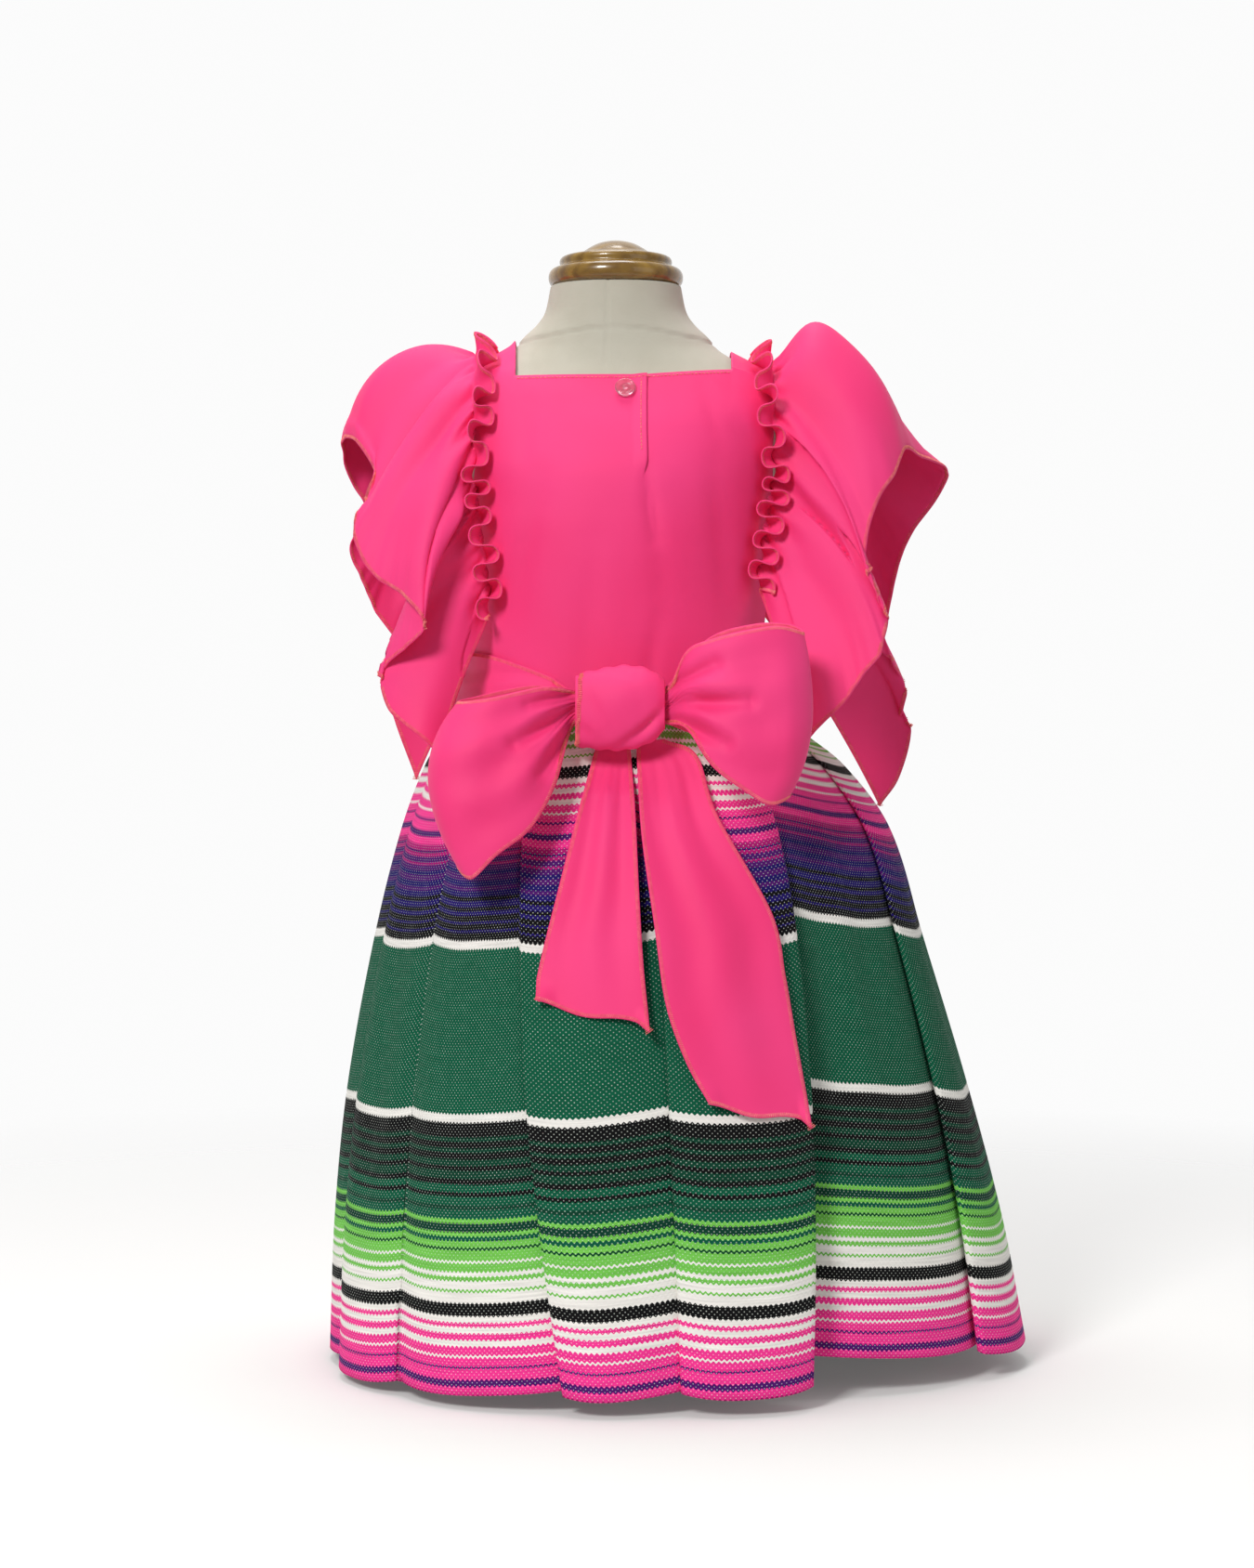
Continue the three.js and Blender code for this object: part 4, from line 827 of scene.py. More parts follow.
# Soft creases of the bodice: x and height of both ends, half width and depth, all in millimetres.
bodiceCreases = rowsOf(
    "x z toX toZ wide deep",
    (19, 562, 25, 520, 5, 2.2), (24, 540, 31, 470, 8, 1.2), (26, 470, 20, 425, 6, 1.4),
    (-46, 560, -66, 452, 8, 1.6), (62, 566, 70, 470, 8, 1.5), (-12, 520, -20, 430, 9, 1.2),
    (-52, 604, -58, 560, 6, 1.0), (54, 616, 66, 580, 5, 0.9),
)


def bodiceRows(columns):
    places = np.linspace(-1, 1, columns)
    sideGap = (bodiceMake["seamGap"] / 2) / formSections[3]["halfWidth"]
    rows = []
    for entry in lowerRows:
        angle = places * (entry["reach"] * degree - sideGap)
        point = around(angle, formRadius(angle, entry["z"]), entry["z"])
        rows.append(point + formNormal(point) * clothOffset)
    for entry in upperRows:
        x = dressCentreX + places * entry["halfWidth"]
        if entry["turn"] is None:
            edge = np.clip(x, dressCentreX - neckHalfWidth, dressCentreX + neckHalfWidth)
            rise = np.maximum(0, (edge - slitX) / neckHalfWidth) * necklineRise
            turn = turnForHeight(edge, necklineHeight + rise, clothOffset)
        else:
            turn = entry["turn"] * degree
        rows.append(onBody(x, turn, clothOffset))
    return np.array(rows), places


# Rows between the cut's rows lie on a smooth curve through them.
def fillRows(rows, steps):
    count = len(rows)
    fine = np.linspace(0, count - 1, (count - 1) * steps + 1)
    i = np.clip(fine.astype(int), 0, count - 2)
    return hermite((fine - i)[:, None, None], rows, np.gradient(rows, axis=0), i)


# How deep a point lies in troughs drawn as straight lines across x and height.
def creaseDepth(x, z, creases):
    total = np.zeros_like(x)
    for crease in creases:
        start = np.array([crease["x"], crease["z"]], float)
        run = np.array([crease["toX"], crease["toZ"]], float) - start
        share = ((x - start[0]) * run[0] + (z - start[1]) * run[1]) / (run @ run)
        near = np.clip(share, 0, 1)
        gap = np.hypot(x - start[0] - near * run[0], z - start[1] - near * run[1]) / crease["wide"]
        along = 0.4 + 0.6 * np.sin(math.pi * np.clip(near, 0.05, 0.95))
        total += crease["deep"] * np.exp(-gap * gap) * along
    return total


def sewBodice(cloth, thread):
    rows, places = bodiceRows(bodiceMake["columns"])
    steps = bodiceMake["rowSteps"]
    neckRow = (len(lowerRows) + 3) * steps
    slitRow = len(lowerRows) * steps
    for name, isFront in (("bodice_back", False), ("bodice_front", True)):
        grid = fillRows(rows, steps)
        depth = creaseDepth(grid[..., 0] * (-1 if isFront else 1), grid[..., 2], bodiceCreases)
        x, z = grid[..., 0], grid[..., 2]
        place = x / bodiceMake["slow"][0] + z / bodiceMake["slow"][1]
        slow = wander(place, 5 + isFront, 7) * bodiceMake["slowDepth"]
        inward = np.minimum(depth + slow * ease(*bodiceMake["slowHeights"], z), bodiceMake["deepest"])
        grid = grid - formNormal(grid) * inward[..., None]
        if isFront:
            grid[..., 1] *= -1
            grid = grid[:, ::-1]
        lengths = clothLengths(grid[::-1])[::-1]
        shown = places[::-1] if isFront else places
        neck = neckHalfWidth / strapHalfWidth
        middle = (np.abs(shown[:-1] + shown[1:]) / 2) < neck
        slit = int(np.searchsorted(places, (slitX - dressCentreX) / bodiceMake["slitReach"]))
        if not isFront:
            lapped = ease(slitX - placket["blend"], slitX, grid[..., 0]) * (np.arange(len(places)) <= slit)
            above = np.arange(len(grid)) - neckRow
            fade = ease(steps * placket["fadeRows"], 0, above)[:, None]
            lapped = lapped * ease(*placket["foot"], grid[..., 2]) * fade
            grid = grid + formNormal(grid) * (placket["lift"] * lapped)[..., None]
            grid[..., 0] += placket["lap"] * lapped

        def openCells(i, j):
            hole = (i >= neckRow) & middle[j]
            if not isFront:
                hole |= (i >= slitRow) & (i < neckRow) & (j == slit)
            return hole

        piece = gridMesh("sewn_" + name, grid, cloth=lengths, skip=openCells)
        giveThickness(piece, bodiceMake["thickness"])
        finishPiece(piece, cloth, name)
        surface = grid + formNormal(grid) * (bodiceMake["thickness"] / 2 + bodiceMake["stitchLift"])
        columns = np.flatnonzero(np.abs(shown) < neck * bodiceMake["hemShare"])
        hem = surface[neckRow - placket["hemRows"], columns]
        if isFront:
            lines = [hem]
        else:
            lap = slit - placket["stitchIn"]
            upright = surface[slitRow + steps // 2 : neckRow - placket["hemRows"], lap]
            lines = [hem[columns <= slit], hem[columns > slit + placket["stitchClear"]], upright]
        paths = [(line, unit(np.gradient(line, axis=0))) for line in lines]
        stitches = sewStitches("topstitch_" + name, paths, topstitch, thread)


# The flounces: one gathered strip over each shoulder, with a narrow frill standing off the seam.
flounceMake = {
    "width": 106, "shoulderSlack": 24, "slackWide": 0.12, "leastSlack": 1.02, "endFree": (-0.08, 0.14),
    "highestArch": 130, "archGuesses": 14, "heading": 16, "curl": 3.0, "lean": 38, "swing": (25, 8),
    "gathers": 18, "gatherDepth": 2.3, "gatherReach": 0.3, "wallUnder": 1.6, "seat": 2.1, "waves": 5,
    "waveDepth": 4, "puckers": 2.3, "puckerDepth": 1.1, "puckerReach": (0.14, 0.08), "leastPucker": 0.05,
    "ripples": 1.9, "rippleDepth": 0.5, "columns": 580, "rows": 40, "headingRows": 12, "thickness": 0.8,
}
# How a fold placed by hand widens, comes in and dies away on its way across the strip.
foldMake = {"widen": (0.75, 0.5), "fullHeight": 8, "leastSoft": 0.5, "setsIn": 0.3, "fade": 0.6}
flounceHub = np.array([5.0, 0.0, 470.0])
seamEndTurn = -58
gatherSeam = rowsOf(
    "turn reach",
    (-58, 78), (-30, 84), (0, 88), (40, 90), (90, 91.5),
)
# Where each free edge hangs, and how near the seam the cloth bulges most.
leftEdge = rowsOf(
    "along x y z lean",
    (0.0, -107, -104, 385, 0.5), (0.04, -121, -104, 398, 0.5), (0.08, -140, -95, 414, 0.5),
    (0.12, -147, -86, 429, 0.5), (0.16, -142, -86, 441, 0.5), (0.2, -126, -98, 452, 0.5),
    (0.235, -118, -107, 462, 0.5), (0.265, -120, -103, 473, 0.5), (0.3, -132, -92, 485, 0.5),
    (0.34, -149, -80, 496, 0.5), (0.375, -158, -70, 511, 0.45), (0.41, -162, -60, 530, 0.4),
    (0.44, -158, -52, 545, 0.38), (0.47, -157, -42, 565, 0.36), (0.5, -166, -26, 585, 0.34),
    (0.54, -173, 0, 586, 0.34), (0.58, -172, 18, 568, 0.38), (0.62, -166, 32, 550, 0.42),
    (0.66, -174, 40, 534, 0.45), (0.7, -177, 46, 520, 0.5), (0.75, -170, 52, 503, 0.5),
    (0.8, -158, 58, 480, 0.5), (0.85, -146, 62, 458, 0.5), (0.9, -158, 70, 440, 0.5),
    (0.95, -149, 74, 409, 0.5), (1.0, -134, 72, 368, 0.5),
)
rightEdge = rowsOf(
    "along x y z lean",
    (0.0, 116, -100, 392, 0.5), (0.05, 129, -100, 407, 0.5), (0.09, 140, -98, 418, 0.5),
    (0.14, 153, -94, 436, 0.5), (0.18, 163, -91, 447, 0.45), (0.215, 166, -89, 458, 0.42),
    (0.245, 168, -87, 471, 0.4), (0.28, 163, -87, 484, 0.36), (0.31, 157, -85, 501, 0.34),
    (0.345, 156, -79, 518, 0.32), (0.38, 162, -70, 543, 0.3), (0.42, 172, -60, 560, 0.26),
    (0.455, 182, -44, 578, 0.22), (0.5, 200, -18, 577, 0.2), (0.54, 213, 6, 574, 0.2),
    (0.58, 216, 22, 566, 0.24), (0.62, 208, 34, 550, 0.3), (0.66, 197, 42, 533, 0.36),
    (0.7, 188, 50, 510, 0.42), (0.745, 181, 58, 476, 0.5), (0.78, 178, 64, 455, 0.5),
    (0.82, 182, 69, 445, 0.5), (0.87, 195, 74, 429, 0.5), (0.9, 193, 76, 414, 0.5),
    (0.93, 198, 78, 399, 0.5), (0.965, 190, 78, 369, 0.5), (1.0, 177, 76, 350, 0.5),
)
# Folds listed one by one: their places along the seam and the edge, half width, and height out of the cloth.
leftFolds = [
    (0.06, 0.04, 0.022, 3.0), (0.11, 0.095, 0.02, -4.5), (0.165, 0.19, 0.03, 5.0),
    (0.212, 0.24, 0.021, -12.0), (0.275, 0.305, 0.036, 6.0), (0.335, 0.362, 0.022, -6.0),
    (0.395, 0.42, 0.034, 5.0), (0.45, 0.47, 0.02, -5.0), (0.5, 0.52, 0.026, 4.0),
    (0.545, 0.56, 0.02, -4.5), (0.59, 0.605, 0.026, 5.0), (0.635, 0.64, 0.018, -6.0),
    (0.69, 0.7, 0.026, 5.0), (0.745, 0.75, 0.02, -5.5), (0.8, 0.79, 0.024, 4.5),
    (0.85, 0.85, 0.02, -7.0), (0.905, 0.905, 0.024, 4.5), (0.95, 0.955, 0.016, -3.5),
]
rightFolds = [
    (0.05, 0.04, 0.022, 2.5), (0.11, 0.11, 0.024, -3.5), (0.165, 0.19, 0.034, 5.0),
    (0.225, 0.245, 0.022, -6.0), (0.285, 0.305, 0.034, 6.0), (0.345, 0.365, 0.024, -5.0),
    (0.41, 0.43, 0.036, 5.5), (0.47, 0.49, 0.018, -3.0), (0.515, 0.53, 0.022, 4.0),
    (0.555, 0.57, 0.018, -4.0), (0.6, 0.62, 0.024, 5.0), (0.65, 0.665, 0.018, -5.0),
    (0.705, 0.715, 0.024, 5.0), (0.76, 0.78, 0.02, -8.0), (0.815, 0.83, 0.024, 5.0),
    (0.865, 0.9, 0.018, -4.0), (0.91, 0.93, 0.022, 4.5), (0.955, 0.962, 0.016, -3.0),
]
# Puffs over the shoulders, lifted by their places along and across the strip.
puffs = rowsOf(
    "side along wide across high",
    (1, 0.46, 0.07, 0.22, 18), (-1, 0.48, 0.09, 0.7, -17),
)


# Points at even lengths along the gathering seam.
def gatherLine(side, along):
    turn = np.linspace(seamEndTurn, 180 - seamEndTurn, 400)
    mirrored = np.minimum(turn, 180 - turn)
    x = dressCentreX + side * smooth(gatherSeam, "reach", mirrored, "turn")
    offset = clothOffset + flounceMake["wallUnder"] + flounceMake["seat"]
    points = onBody(x, turn * degree, offset)
    lengths = runningSum(np.linalg.norm(np.diff(points, axis=0), axis=1))
    place = np.clip(along, 0, 1) * lengths[-1]
    return np.stack([np.interp(place, lengths, points[:, axis]) for axis in range(3)], axis=-1)


# A constant width of cloth from the seam to the edge: its slack lifts it into an arch.
def flounceRest(side, edge, along, across):
    start = gatherLine(side, along)
    end = np.stack([smooth(edge, axis, along, "along") for axis in "xyz"], axis=-1)
    lean = smooth(edge, "lean", along, "along")[..., None]
    foot = start * (1 - lean) + end * lean
    out = unit((start + end) / 2 - flounceHub)
    low = np.zeros(along.shape)
    high = np.full(along.shape, float(flounceMake["highestArch"]))
    slack = flounceMake["shoulderSlack"] * np.exp(-(((along - 0.5) / flounceMake["slackWide"]) ** 2))
    least = flounceMake["leastSlack"] * np.linalg.norm(end - start, axis=-1)
    width = np.maximum(flounceMake["width"] + slack, least)
    for _ in range(flounceMake["archGuesses"]):
        half = (low + high) / 2
        short = archLength(start, foot + out * half[..., None], end) < width
        low = np.where(short, half, low)
        high = np.where(short, high, half)
    free = ease(*flounceMake["endFree"], along) * ease(*flounceMake["endFree"], 1 - along)
    return archPoint(start, foot + out * (low * free)[..., None], end, across[..., None])


def archPoint(start, top, end, share):
    return start * (1 - share) ** 2 + top * 2 * share * (1 - share) + end * share**2


def archLength(start, top, end, steps=8):
    points = [archPoint(start, top, end, k / steps) for k in range(steps + 1)]
    return sum(np.linalg.norm(b - a, axis=-1) for a, b in zip(points, points[1:]))


def wavePhase(along, seed):
    return flounceMake["gathers"] * along + 0.32 * wander(along, seed, 9)


# The folds run from the gathers to the free edge and are deepest on the way.
def foldHeight(folds, along, across):
    total = np.zeros_like(along)
    for seam, edge, wide, high in folds:
        centre = seam + (edge - seam) * across
        gap = (along - centre) / (wide * (foldMake["widen"][0] + foldMake["widen"][1] * across))
        soft = np.clip(abs(high) / foldMake["fullHeight"], foldMake["leastSoft"], 1)
        total += high * soft * np.exp(-gap * gap)
    return total * ease(0, foldMake["setsIn"], across) * (1 - foldMake["fade"] * across)


def flounceGrid(side, edge, folds, seed):
    along = np.linspace(0, 1, flounceMake["columns"])
    a, b = np.meshgrid(along, np.linspace(0, 1, flounceMake["rows"]))
    point = flounceRest(side, edge, a, b)
    normal = unit(np.cross(np.gradient(point, axis=1), np.gradient(point, axis=0)))
    facing = np.sign(np.sum(normal * (point - flounceHub), axis=-1, keepdims=True))
    normal = normal * np.where(facing == 0, 1, facing)
    ends = np.sin(math.pi * np.clip(a, 0, 1)) ** 0.35
    phase = wavePhase(a, seed)
    near = np.clip(1 - b / flounceMake["gatherReach"], 0, 1) ** 1.5
    depth = flounceMake["gatherDepth"] * np.cos(2 * math.pi * phase) * near
    slow = 0.2 * wander(a, seed + 1, 6)
    wave = np.cos(2 * math.pi * (flounceMake["waves"] * a + slow))
    depth += flounceMake["waveDepth"] * ends * b**1.2 * wave
    depth += foldHeight(folds, a, b)
    # Short puckers run out of the gathers, each as long as it likes.
    reach = flounceMake["puckerReach"][0] + flounceMake["puckerReach"][1] * wander(a * 3, seed + 2, 7)
    fade = np.clip(1 - b / np.maximum(reach, flounceMake["leastPucker"]), 0, 1)
    pucker = np.cos(2 * math.pi * phase * flounceMake["puckers"] + seed)
    depth += flounceMake["puckerDepth"] * pucker * fade * ease(0, 0.02, b)
    # Small ripples run along the free edge, where the overlocking stretches it.
    ripple = np.cos(2 * math.pi * (phase * flounceMake["ripples"] + 0.6 * wander(a, seed + 5, 8)))
    uneven = 0.55 + 0.45 * wander(a + 0.3, seed + 3, 6)
    depth += flounceMake["rippleDepth"] * ends * ripple * ease(0.6, 1, b) * uneven
    point = point + normal * depth[..., None]
    for puff in puffs:
        if puff["side"] == side:
            near = np.exp(-(((a - puff["along"]) / puff["wide"]) ** 2))
            lift = (b / puff["across"]) * np.exp(1 - b / puff["across"])
            point[..., 2] += puff["high"] * near * lift**3 * ease(1, 0.8, b)
    return point, along


def headingGrid(side, seed, along):
    share = np.linspace(1, 0, flounceMake["headingRows"] + 1)[:-1]
    a, part = np.meshgrid(along, share)
    seam = gatherLine(side, a)
    tangent = unit(gatherLine(side, a + 0.002) - gatherLine(side, a - 0.002))
    normal = formNormal(seam)
    inward = unit(np.cross(tangent, normal))
    inward = inward * np.where(inward[..., :1] * side > 0, -1, 1)
    phase = wavePhase(a, seed)
    swing = flounceMake["swing"][0] + flounceMake["swing"][1] * wander(a * 2 + 0.2, seed + 4, 7)
    lean = (flounceMake["lean"] + swing * np.cos(2 * math.pi * phase) * ease(-0.2, 0.9, part)) * degree
    width = flounceMake["heading"] * part
    gather = flounceMake["gatherDepth"] * np.cos(2 * math.pi * phase)
    # The frill's edge doubles back on itself between one gather and the next.
    curl = flounceMake["curl"] * (0.85 + 0.3 * wander(a * 3, seed + 6, 9))
    sideways = curl * part**1.5 * np.sin(4 * math.pi * phase)
    point = seam + normal * (gather + width * np.sin(lean))[..., None]
    return point + inward * (width * np.cos(lean))[..., None] + tangent * sideways[..., None]


def sewFlounces(cloth, thread):
    for name, side, edge, folds, seed in (
        ("flounce_left", -1, leftEdge, leftFolds, 21),
        ("flounce_right", 1, rightEdge, rightFolds, 47),
    ):
        free, along = flounceGrid(side, edge, folds, seed)
        grid = np.vstack([headingGrid(side, seed, along), free])
        piece = gridMesh("gathered_" + name, grid)
        giveThickness(piece, flounceMake["thickness"])
        finishPiece(piece, cloth, name)
        paths = edgePaths(grid, ("top", "bottom", "left", "right"), overlock)
        edging = sewStitches("overlock_" + name, paths, overlock, thread)


# The ties: each wraps the waist from its side seam and rises into the knot of the bow.
knotCentre = np.array([3.0, -116.0, 415.0])
sashRows = rowsOf(
    "angle top low",
    (89.5, 452, 413), (72, 451, 412), (54, 448, 410), (38, 441, 408), (26, 434, 406),
)
sashRoot = {"reach": 28.4, "y": -104.6, "top": 424, "low": 406, "curve": 1.6}
sashOffsets = rowsOf(
    "part offset",
    (0, 5.6), (0.33, 7.5), (0.66, 13.5), (1, 23),
)
sashMake = {
    "columns": 130, "rows": 34, "overSkirt": 3.4, "folds": 2.6, "foldDepth": 1.2, "rootFrom": 0.8,
    "skirtFrom": 0.6,
}


def sashGrid(side):
    along = np.linspace(0, 1, sashMake["columns"])
    part = np.linspace(0, 1, sashMake["rows"])
    b, a = np.meshgrid(part, along)
    row = np.minimum(1, a / sashMake["rootFrom"]) * (len(sashRows) - 1)
    angle = side * smooth(sashRows, "angle", row) * degree
    top = smooth(sashRows, "top", row)
    low = smooth(sashRows, "low", row)
    z = top + (low - top) * b
    down = np.maximum(0, (waistHeight - z) / (waistHeight - hemHeight))
    onSkirt = skirtRadius(angle, down) + sashMake["overSkirt"]
    onBodice = formRadius(angle, z) + smooth(sashOffsets, "offset", b, "part")
    blend = ease(sashMake["skirtFrom"], 1.0, b)
    radius = onBodice * (1 - blend) + (onSkirt + skirtAxisX * np.sin(angle)) * blend
    folds = np.cos(2 * math.pi * (sashMake["folds"] * b + 0.35 * wander(a, 61 + side, 4)))
    strength = np.sin(math.pi * b) * (0.45 + 0.55 * a)
    radius = radius + sashMake["foldDepth"] * (1 + folds) * strength
    point = around(angle, radius, z)
    across = 2 * b - 1
    rootX = np.full_like(a, knotCentre[0] + side * sashRoot["reach"])
    rootY = sashRoot["y"] - sashRoot["curve"] * across**2
    root = np.stack([rootX, rootY, mix((sashRoot["top"], sashRoot["low"]), b)], axis=-1)
    lift = ease(sashMake["rootFrom"], 1, a)[..., None]
    return point * (1 - lift) + root * lift


# Bow loops: sections from the knot out along the back, round the end and in behind again.
leftLoop = rowsOf(
    "topX topY topZ midX midY midZ lowX lowY lowZ",
    (-14, -126, 424, -14, -127.8, 415, -14, -126, 406), (-26, -125, 426, -26, -127, 414, -26, -125, 403),
    (-40, -135, 428, -42, -144, 400, -36, -142, 368), (-56, -143, 425, -60, -156, 385, -50, -154, 343),
    (-73, -146, 421, -84, -160, 376, -70, -160, 327), (-88, -141, 419, -104, -154, 370, -85, -156, 313),
    (-94, -130, 419, -112, -138, 374, -93, -146, 320), (-88, -121, 421, -103, -126, 378, -84, -135, 328),
    (-68, -115, 426, -76, -120, 385, -64, -132, 339), (-48, -111, 429, -50, -115, 398, -44, -126, 362),
    (-26, -109.4, 426, -26, -108, 414, -26, -109.4, 403),
    (-14, -107.6, 424, -14, -106.4, 415, -14, -107.6, 406),
)
rightLoop = rowsOf(
    "topX topY topZ midX midY midZ lowX lowY lowZ",
    (20, -126, 424, 20, -127.8, 415, 20, -126, 406), (32, -125, 427, 32, -127, 417, 32, -125, 405),
    (43, -135, 449, 45, -146, 424, 43, -141, 402), (58, -143, 456, 63, -157, 415, 58, -152, 380),
    (78, -146, 461, 86, -160, 409, 76, -157, 366), (98, -142, 464, 105, -154, 408, 92, -155, 357),
    (113, -131, 461, 118, -139, 405, 104, -144, 362), (105, -119, 466, 108, -124, 410, 94, -133, 368),
    (84, -114, 466, 86, -119, 415, 78, -129, 376), (56, -110, 457, 58, -114, 420, 56, -120, 394),
    (32, -109.4, 429, 32, -108, 417, 32, -109.4, 405), (20, -107.6, 424, 20, -106.4, 415, 20, -107.6, 406),
)
loopMake = {
    "columns": 220, "rows": 60, "ripples": 3, "rippleDepth": 2.5, "fanAt": 0.13, "fanWide": 0.07,
    "fanRipples": 7.3, "fanDepth": 0.2,
}
# Creases of each loop's face, fanning out of the knot.
leftLoopCreases = rowsOf(
    "x z toX toZ wide deep",
    (-22, 424, -52, 417, 3.6, 4.5), (-22, 416, -60, 394, 5.0, 8.5), (-22, 410, -44, 376, 4.4, 7.5),
    (-60, 408, -78, 352, 14.0, 4.0),
)
rightLoopCreases = rowsOf(
    "x z toX toZ wide deep",
    (26, 423, 60, 441, 4.6, 7.5), (26, 417, 80, 419, 5.4, 9.0), (26, 413, 66, 394, 5.0, 9.0),
    (28, 408, 50, 384, 3.6, 5.5), (84, 444, 92, 380, 14.0, 4.0),
)


def loopGrid(table, creases, seed):
    b, a = np.meshgrid(np.linspace(0, 1, loopMake["rows"]), np.linspace(0, 1, loopMake["columns"]))
    row = a * (len(table) - 1)
    weights = {"top": (2 * b - 1) * (b - 1), "mid": 4 * b * (1 - b), "low": b * (2 * b - 1)}
    point = np.zeros(a.shape + (3,))
    for k, axis in enumerate("XYZ"):
        for edge, weight in weights.items():
            point[..., k] += weight * smooth(table, edge + axis, row)
    face = np.where(a < 0.5, -1, 1)
    nearKnot = np.sin(math.pi * a) ** 2 * np.abs(np.cos(math.pi * a))
    ripple = 1.1 * nearKnot * np.cos(2 * math.pi * (loopMake["ripples"] * b + 0.12 * wander(a, seed, 4)))
    # Finer creases come out of the knot and die away towards the bend.
    fan = np.exp(-(((np.minimum(a, 1 - a) - loopMake["fanAt"]) / loopMake["fanWide"]) ** 2))
    turns = loopMake["fanRipples"] * b + 0.5 * wander(a + b, seed + 1, 5)
    fine = loopMake["fanDepth"] * fan * np.cos(2 * math.pi * turns)
    point[..., 1] += face * loopMake["rippleDepth"] * (ripple + fine)
    inFront = ease(0.5, 0.42, a)
    point[..., 1] += creaseDepth(point[..., 0], point[..., 2], creases) * inFront
    return point


knotSections = rowsOf(
    "x halfDepth halfHeight",
    (-27, 13.2, 21.0), (-22, 14.2, 22.5), (-12, 15.4, 24.2), (2, 15.8, 25.5), (14, 15, 23.5),
    (22, 13.2, 19.5), (27, 10.5, 14.5),
)
knotMake = {
    "around": 120, "along": 76, "halfLong": 27, "squareness": 2.6, "lean": 0.06, "backDepth": 0.5,
    "backPitch": 11,
}
# The knot's own edge on its face: its rows in from the left end, and how far the thread stands off.
knotHem = {
    "from": 0.3, "to": 0.7, "over": 0.4, "row": 5, "rowsLess": 4, "inward": 3, "standOff": 0.5, "slant": 0.3,
}
# Creases of the knot's face: x and height of both ends, half width and depth.
knotCreases = rowsOf(
    "x z toX toZ wide deep",
    (26, 408, 0, 389, 3.6, 3.0), (30, 416, 14, 397, 3.2, 2.2), (-24, 405, -12, 396, 4.0, 1.4),
    (-10, 440, 12, 434, 4.0, 1.2), (-10, 412, 14, 424, 12.0, -2.0), (-20, 428, -8, 402, 5.0, 1.2),
)


def knotGrid():
    turns = np.linspace(0, 2 * math.pi, knotMake["around"] + 1)
    a, x = np.meshgrid(turns, np.linspace(-knotMake["halfLong"], knotMake["halfLong"], knotMake["along"]))
    depth = smooth(knotSections, "halfDepth", x, "x")
    height = smooth(knotSections, "halfHeight", x, "x")
    across = np.cos(a)
    up = np.sin(a)
    # The wrap is squarer than an oval, and it leans from corner to corner.
    power = knotMake["squareness"]
    square = (np.abs(across) ** power + np.abs(up) ** power) ** (-1 / power)
    rise = height * up * square + knotMake["lean"] * x
    point = np.stack([x, depth * across * square, rise], axis=-1) + knotCentre
    face = ease(0.1, 0.6, -across)
    deep = creaseDepth(point[..., 0], point[..., 2], knotCreases) * face
    deep += knotMake["backDepth"] * (1 - face) * np.cos(2 * math.pi * (x / knotMake["backPitch"] + 0.3 * up))
    out = unit(np.stack([np.zeros_like(x), across / depth, up / height], axis=-1))
    return point - out * deep[..., None]


# The knot's own edge shows on its face, a little in from its left end.
def knotEdge(grid):
    across = np.linspace(0, 1, grid.shape[1])
    columns = np.flatnonzero((across > knotHem["from"]) & (across < knotHem["to"]))
    drop = knotHem["rowsLess"] * (across[columns] - knotHem["from"]) / knotHem["over"]
    rows = np.round(knotHem["row"] - drop).astype(int)
    edge = grid[rows, columns]
    inward = unit(grid[rows + knotHem["inward"], columns] - edge)
    out = unit(edge - knotCentre * (0, 1, 1) - edge * (1, 0, 0))
    along = unit(np.gradient(edge, axis=0))
    return [(edge + out * knotHem["standOff"], unit(inward + knotHem["slant"] * along))]


# The tails: the places of both edges on their way down.

leftTail = rowsOf(
    "leftX leftZ rightX rightZ",
    (-11, 395, 9, 395), (-17, 372, 11, 370), (-23, 350, 12.5, 348), (-34, 306, 14.5, 304),
    (-43, 270, 17, 262), (-49, 240, 20.7, 226),
)
rightTail = rowsOf(
    "leftX leftZ rightX rightZ",
    (13, 395, 30, 396), (13.5, 377, 50, 386), (16, 338, 62, 350), (23.6, 284, 94, 292), (30, 240, 102, 254),
    (41, 208, 108, 218), (54.6, 180, 117, 168),
)
tailMake = {
    "columns": 130, "rows": 40, "clearance": 4, "rootY": -103.6, "ripples": 2, "rippleDepth": 2,
    "fineRipples": 5.2, "fineDepth": 0.45, "hangFrom": 0.3, "wave": 1.8, "waves": 1.3,
}
tieThickness = 0.8
# The cut of what shows of each tie, in millimetres, and what it lies on.
tieCuts = {
    "sash_left": {"wide": 42, "long": 138, "on": ["bodice_back", "skirt_back"], "edges": ("left",)},
    "sash_right": {"wide": 42, "long": 138, "on": ["bodice_back", "skirt_back"], "edges": ("left",)},
    "bow_loop_left": {"wide": 92, "long": 236, "on": ["bow_knot"], "edges": ("left", "right")},
    "bow_loop_right": {"wide": 92, "long": 236, "on": ["bow_knot"], "edges": ("left", "right")},
    "bow_knot": {"wide": 60, "long": 125, "on": ["sash_left", "sash_right"], "edges": ("top",)},
    "bow_tail_left": {"wide": 60, "long": 172, "on": ["skirt_back"], "edges": ("left", "right", "bottom")},
    "bow_tail_right": {"wide": 75, "long": 250, "on": ["skirt_back"], "edges": ("left", "right", "bottom")},
}


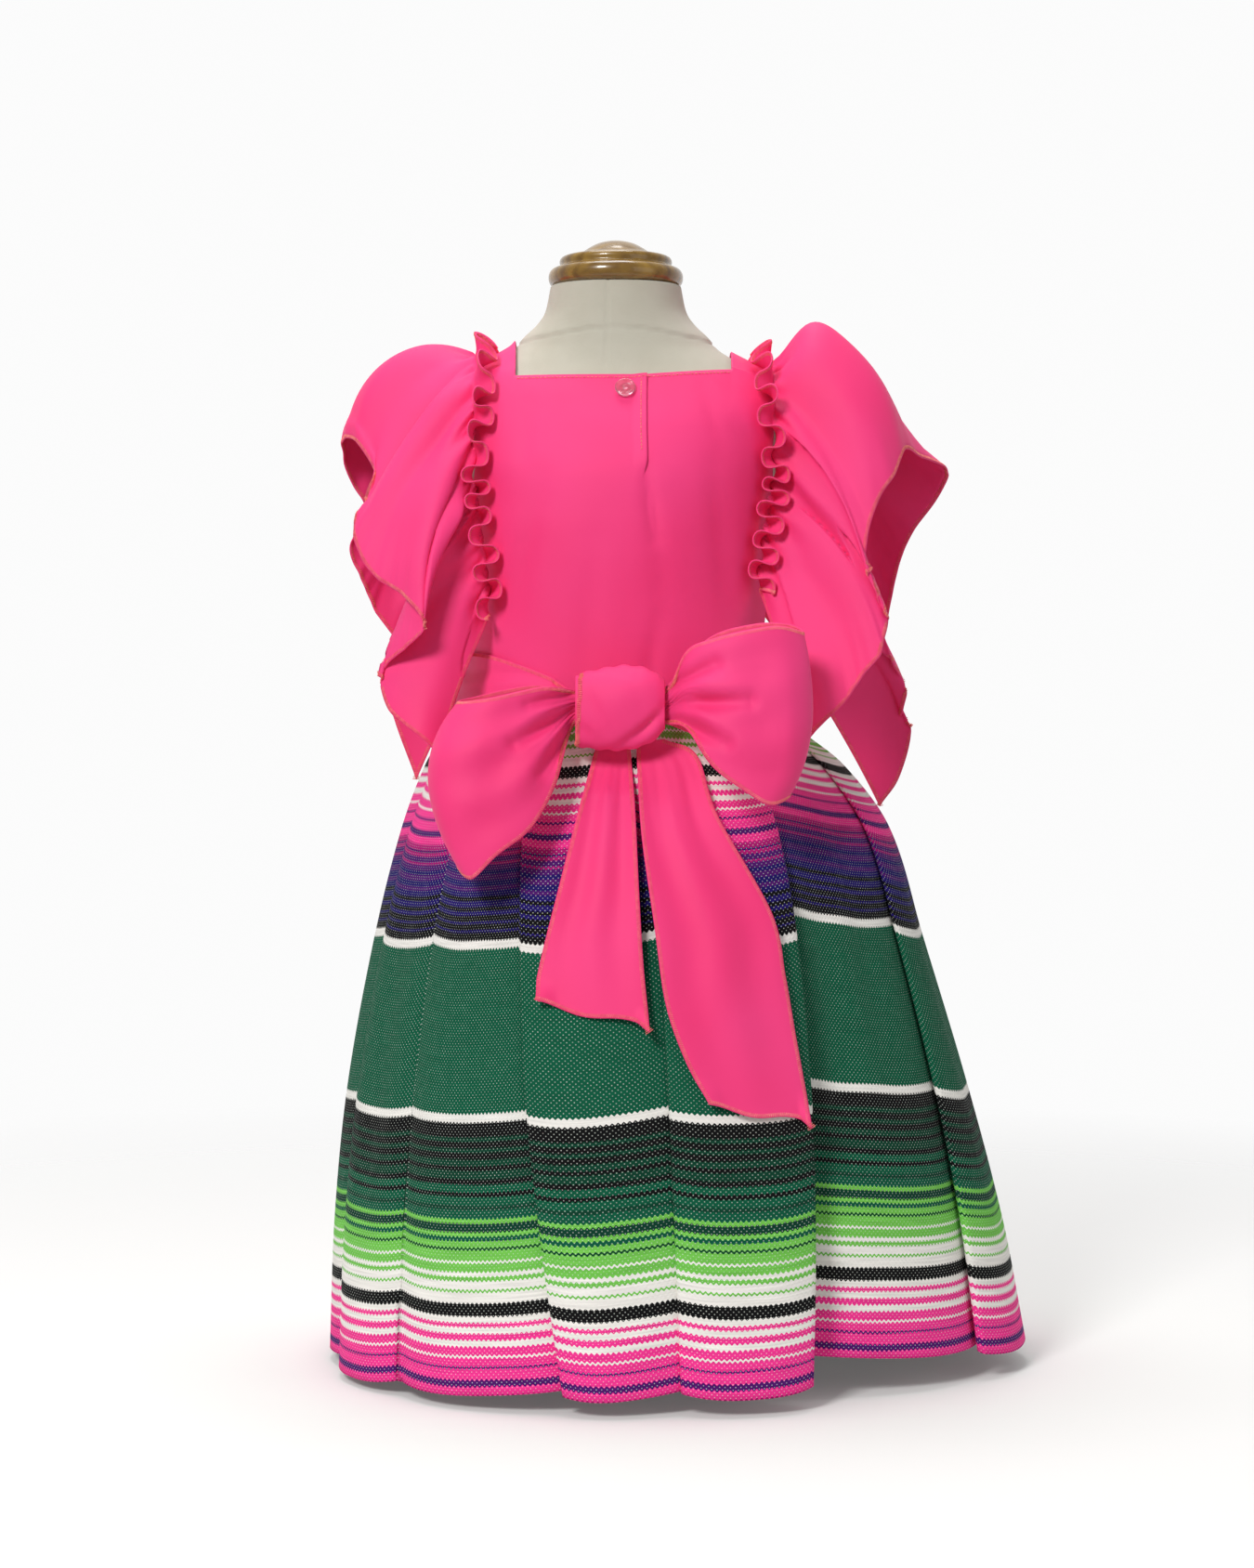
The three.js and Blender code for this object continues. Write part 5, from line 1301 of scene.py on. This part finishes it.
def skirtDepthAt(x, z):
    down = (waistHeight - z) / (waistHeight - hemHeight)
    left, right, back, _ = skirtSides(down)
    side = np.where(x < skirtAxisX, left, right)
    return -back * np.sqrt(np.maximum(0, 1 - ((x - skirtAxisX) / side) ** 2))


def tailGrid(table, proud, curls, seed):
    b, a = np.meshgrid(np.linspace(0, 1, tailMake["rows"]), np.linspace(0, 1, tailMake["columns"]))
    row = a * (len(table) - 1)
    x = smooth(table, "leftX", row) * (1 - b) + smooth(table, "rightX", row) * b
    z = smooth(table, "leftZ", row) * (1 - b) + smooth(table, "rightZ", row) * b
    folds = 1 + np.cos(2 * math.pi * (tailMake["ripples"] * b + 0.10 * wander(a, seed, 4)))
    folds = folds * (1 - 0.5 * ease(0.3, 1, a))
    turns = tailMake["fineRipples"] * b + 0.3 * wander(a, seed + 1, 4)
    folds += tailMake["fineDepth"] * (1 + np.cos(2 * math.pi * turns)) * ease(0.45, 0, a)
    ripple = tailMake["rippleDepth"] * folds * np.sin(math.pi * a * 0.9)
    onSkirt = skirtDepthAt(x, z) - tailMake["clearance"] - proud - ripple
    hang = ease(0, tailMake["hangFrom"], a)
    # The corners of the hemmed end roll forwards, each by its own amount.
    left = curls[0] * ease(0.9, 1, a) * ease(0.22, 0, b)
    right = curls[1] * ease(0.93, 1, a) * ease(0.88, 1, b)
    y = tailMake["rootY"] * (1 - hang) + onSkirt * hang - left - right
    waved = tailMake["wave"] * np.sin(2 * math.pi * (tailMake["waves"] * b + 0.2)) * ease(0.8, 1, a)
    return np.stack([x + 0.3 * left, y, z + waved - 0.4 * right], axis=-1)


def sewTies(cloth, thread):
    grids = {
        "sash_left": sashGrid(-1),
        "sash_right": sashGrid(1),
        "bow_loop_left": loopGrid(leftLoop, leftLoopCreases, 71),
        "bow_loop_right": loopGrid(rightLoop, rightLoopCreases, 83),
        "bow_knot": knotGrid(),
        "bow_tail_left": tailGrid(leftTail, 0, (6, 6), 91),
        "bow_tail_right": tailGrid(rightTail, 3, (3, 6), 97),
    }
    for name, grid in grids.items():
        piece = gridMesh("tied_" + name, grid, aroundJoins=name == "bow_knot")
        giveThickness(piece, tieThickness)
        finishPiece(piece, cloth, name)
        cut = tieCuts[name]
        paths = knotEdge(grid) if name == "bow_knot" else edgePaths(grid, cut["edges"], overlock)
        edging = sewStitches("overlock_" + name, paths, overlock, thread)


# The snap's socket: a dished disc with a raised rim and a post.
snapMake = {"x": 6, "height": 613.3, "segments": 64, "lift": 2.5, "upright": (0, -0.5, 0)}
snapProfile = [
    (0, 0), (5.4, 0), (6.1, 0.2), (6.4, 0.7), (6.35, 1.2), (6.0, 1.75), (5.5, 2.05), (5.0, 2.05),
    (4.5, 1.8), (4.1, 1.3), (3.6, 1.02), (2.6, 0.92), (1.75, 0.92), (1.45, 1.1), (1.4, 1.9), (1.25, 2.25),
    (0.9, 2.42), (0, 2.5),
]


def mouldSnap(plastic):
    lift = clothOffset + snapMake["lift"]
    centre = onBody(snapMake["x"], turnForHeight(snapMake["x"], snapMake["height"], clothOffset), lift)
    # The placket's top stands a little more upright than the form under it.
    out = Vector(unit(formNormal(centre) + np.array(snapMake["upright"])))
    turn = np.array(out.to_track_quat("Z", "Y").to_matrix())
    angle = np.linspace(0, 2 * math.pi, snapMake["segments"] + 1)
    profile = np.array(snapProfile)
    rings = [profile[:, :1] * np.cos(angle), profile[:, :1] * np.sin(angle)]
    grid = np.stack([*rings, np.repeat(profile[:, 1:], len(angle), axis=1)], axis=-1)
    snap = gridMesh("moulded_snap", grid @ turn.T + centre, aroundJoins=True)
    finishPiece(snap, plastic, "neck_snap")


print("camera, light and floor")
placeCamera()
lightStudio()
layFloor()

print("cloth and hard finishes")
pinkCloth = pinkPoplin()
serape = serapeCotton()
coralThread = polyesterThread("coral spun polyester thread", "#d8575c", "#ef8078")
coralStitches = stitchTree(coralThread)

print("form, cap and stand")
padForm(creamJersey())
turnCap(varnishedBeech())
steel = coatedSteel()
for node in ("stand_pole", "stand_foot"):
    bpy.data.objects[node].material_slots[0].material = steel

print("skirt")
sewSkirt(serape)
print("bodice")
sewBodice(pinkCloth, coralStitches)
print("flounces")
sewFlounces(pinkCloth, coralStitches)
print("sash and bow")
sewTies(pinkCloth, coralStitches)
print("snap")
mouldSnap(clearSnapPlastic())
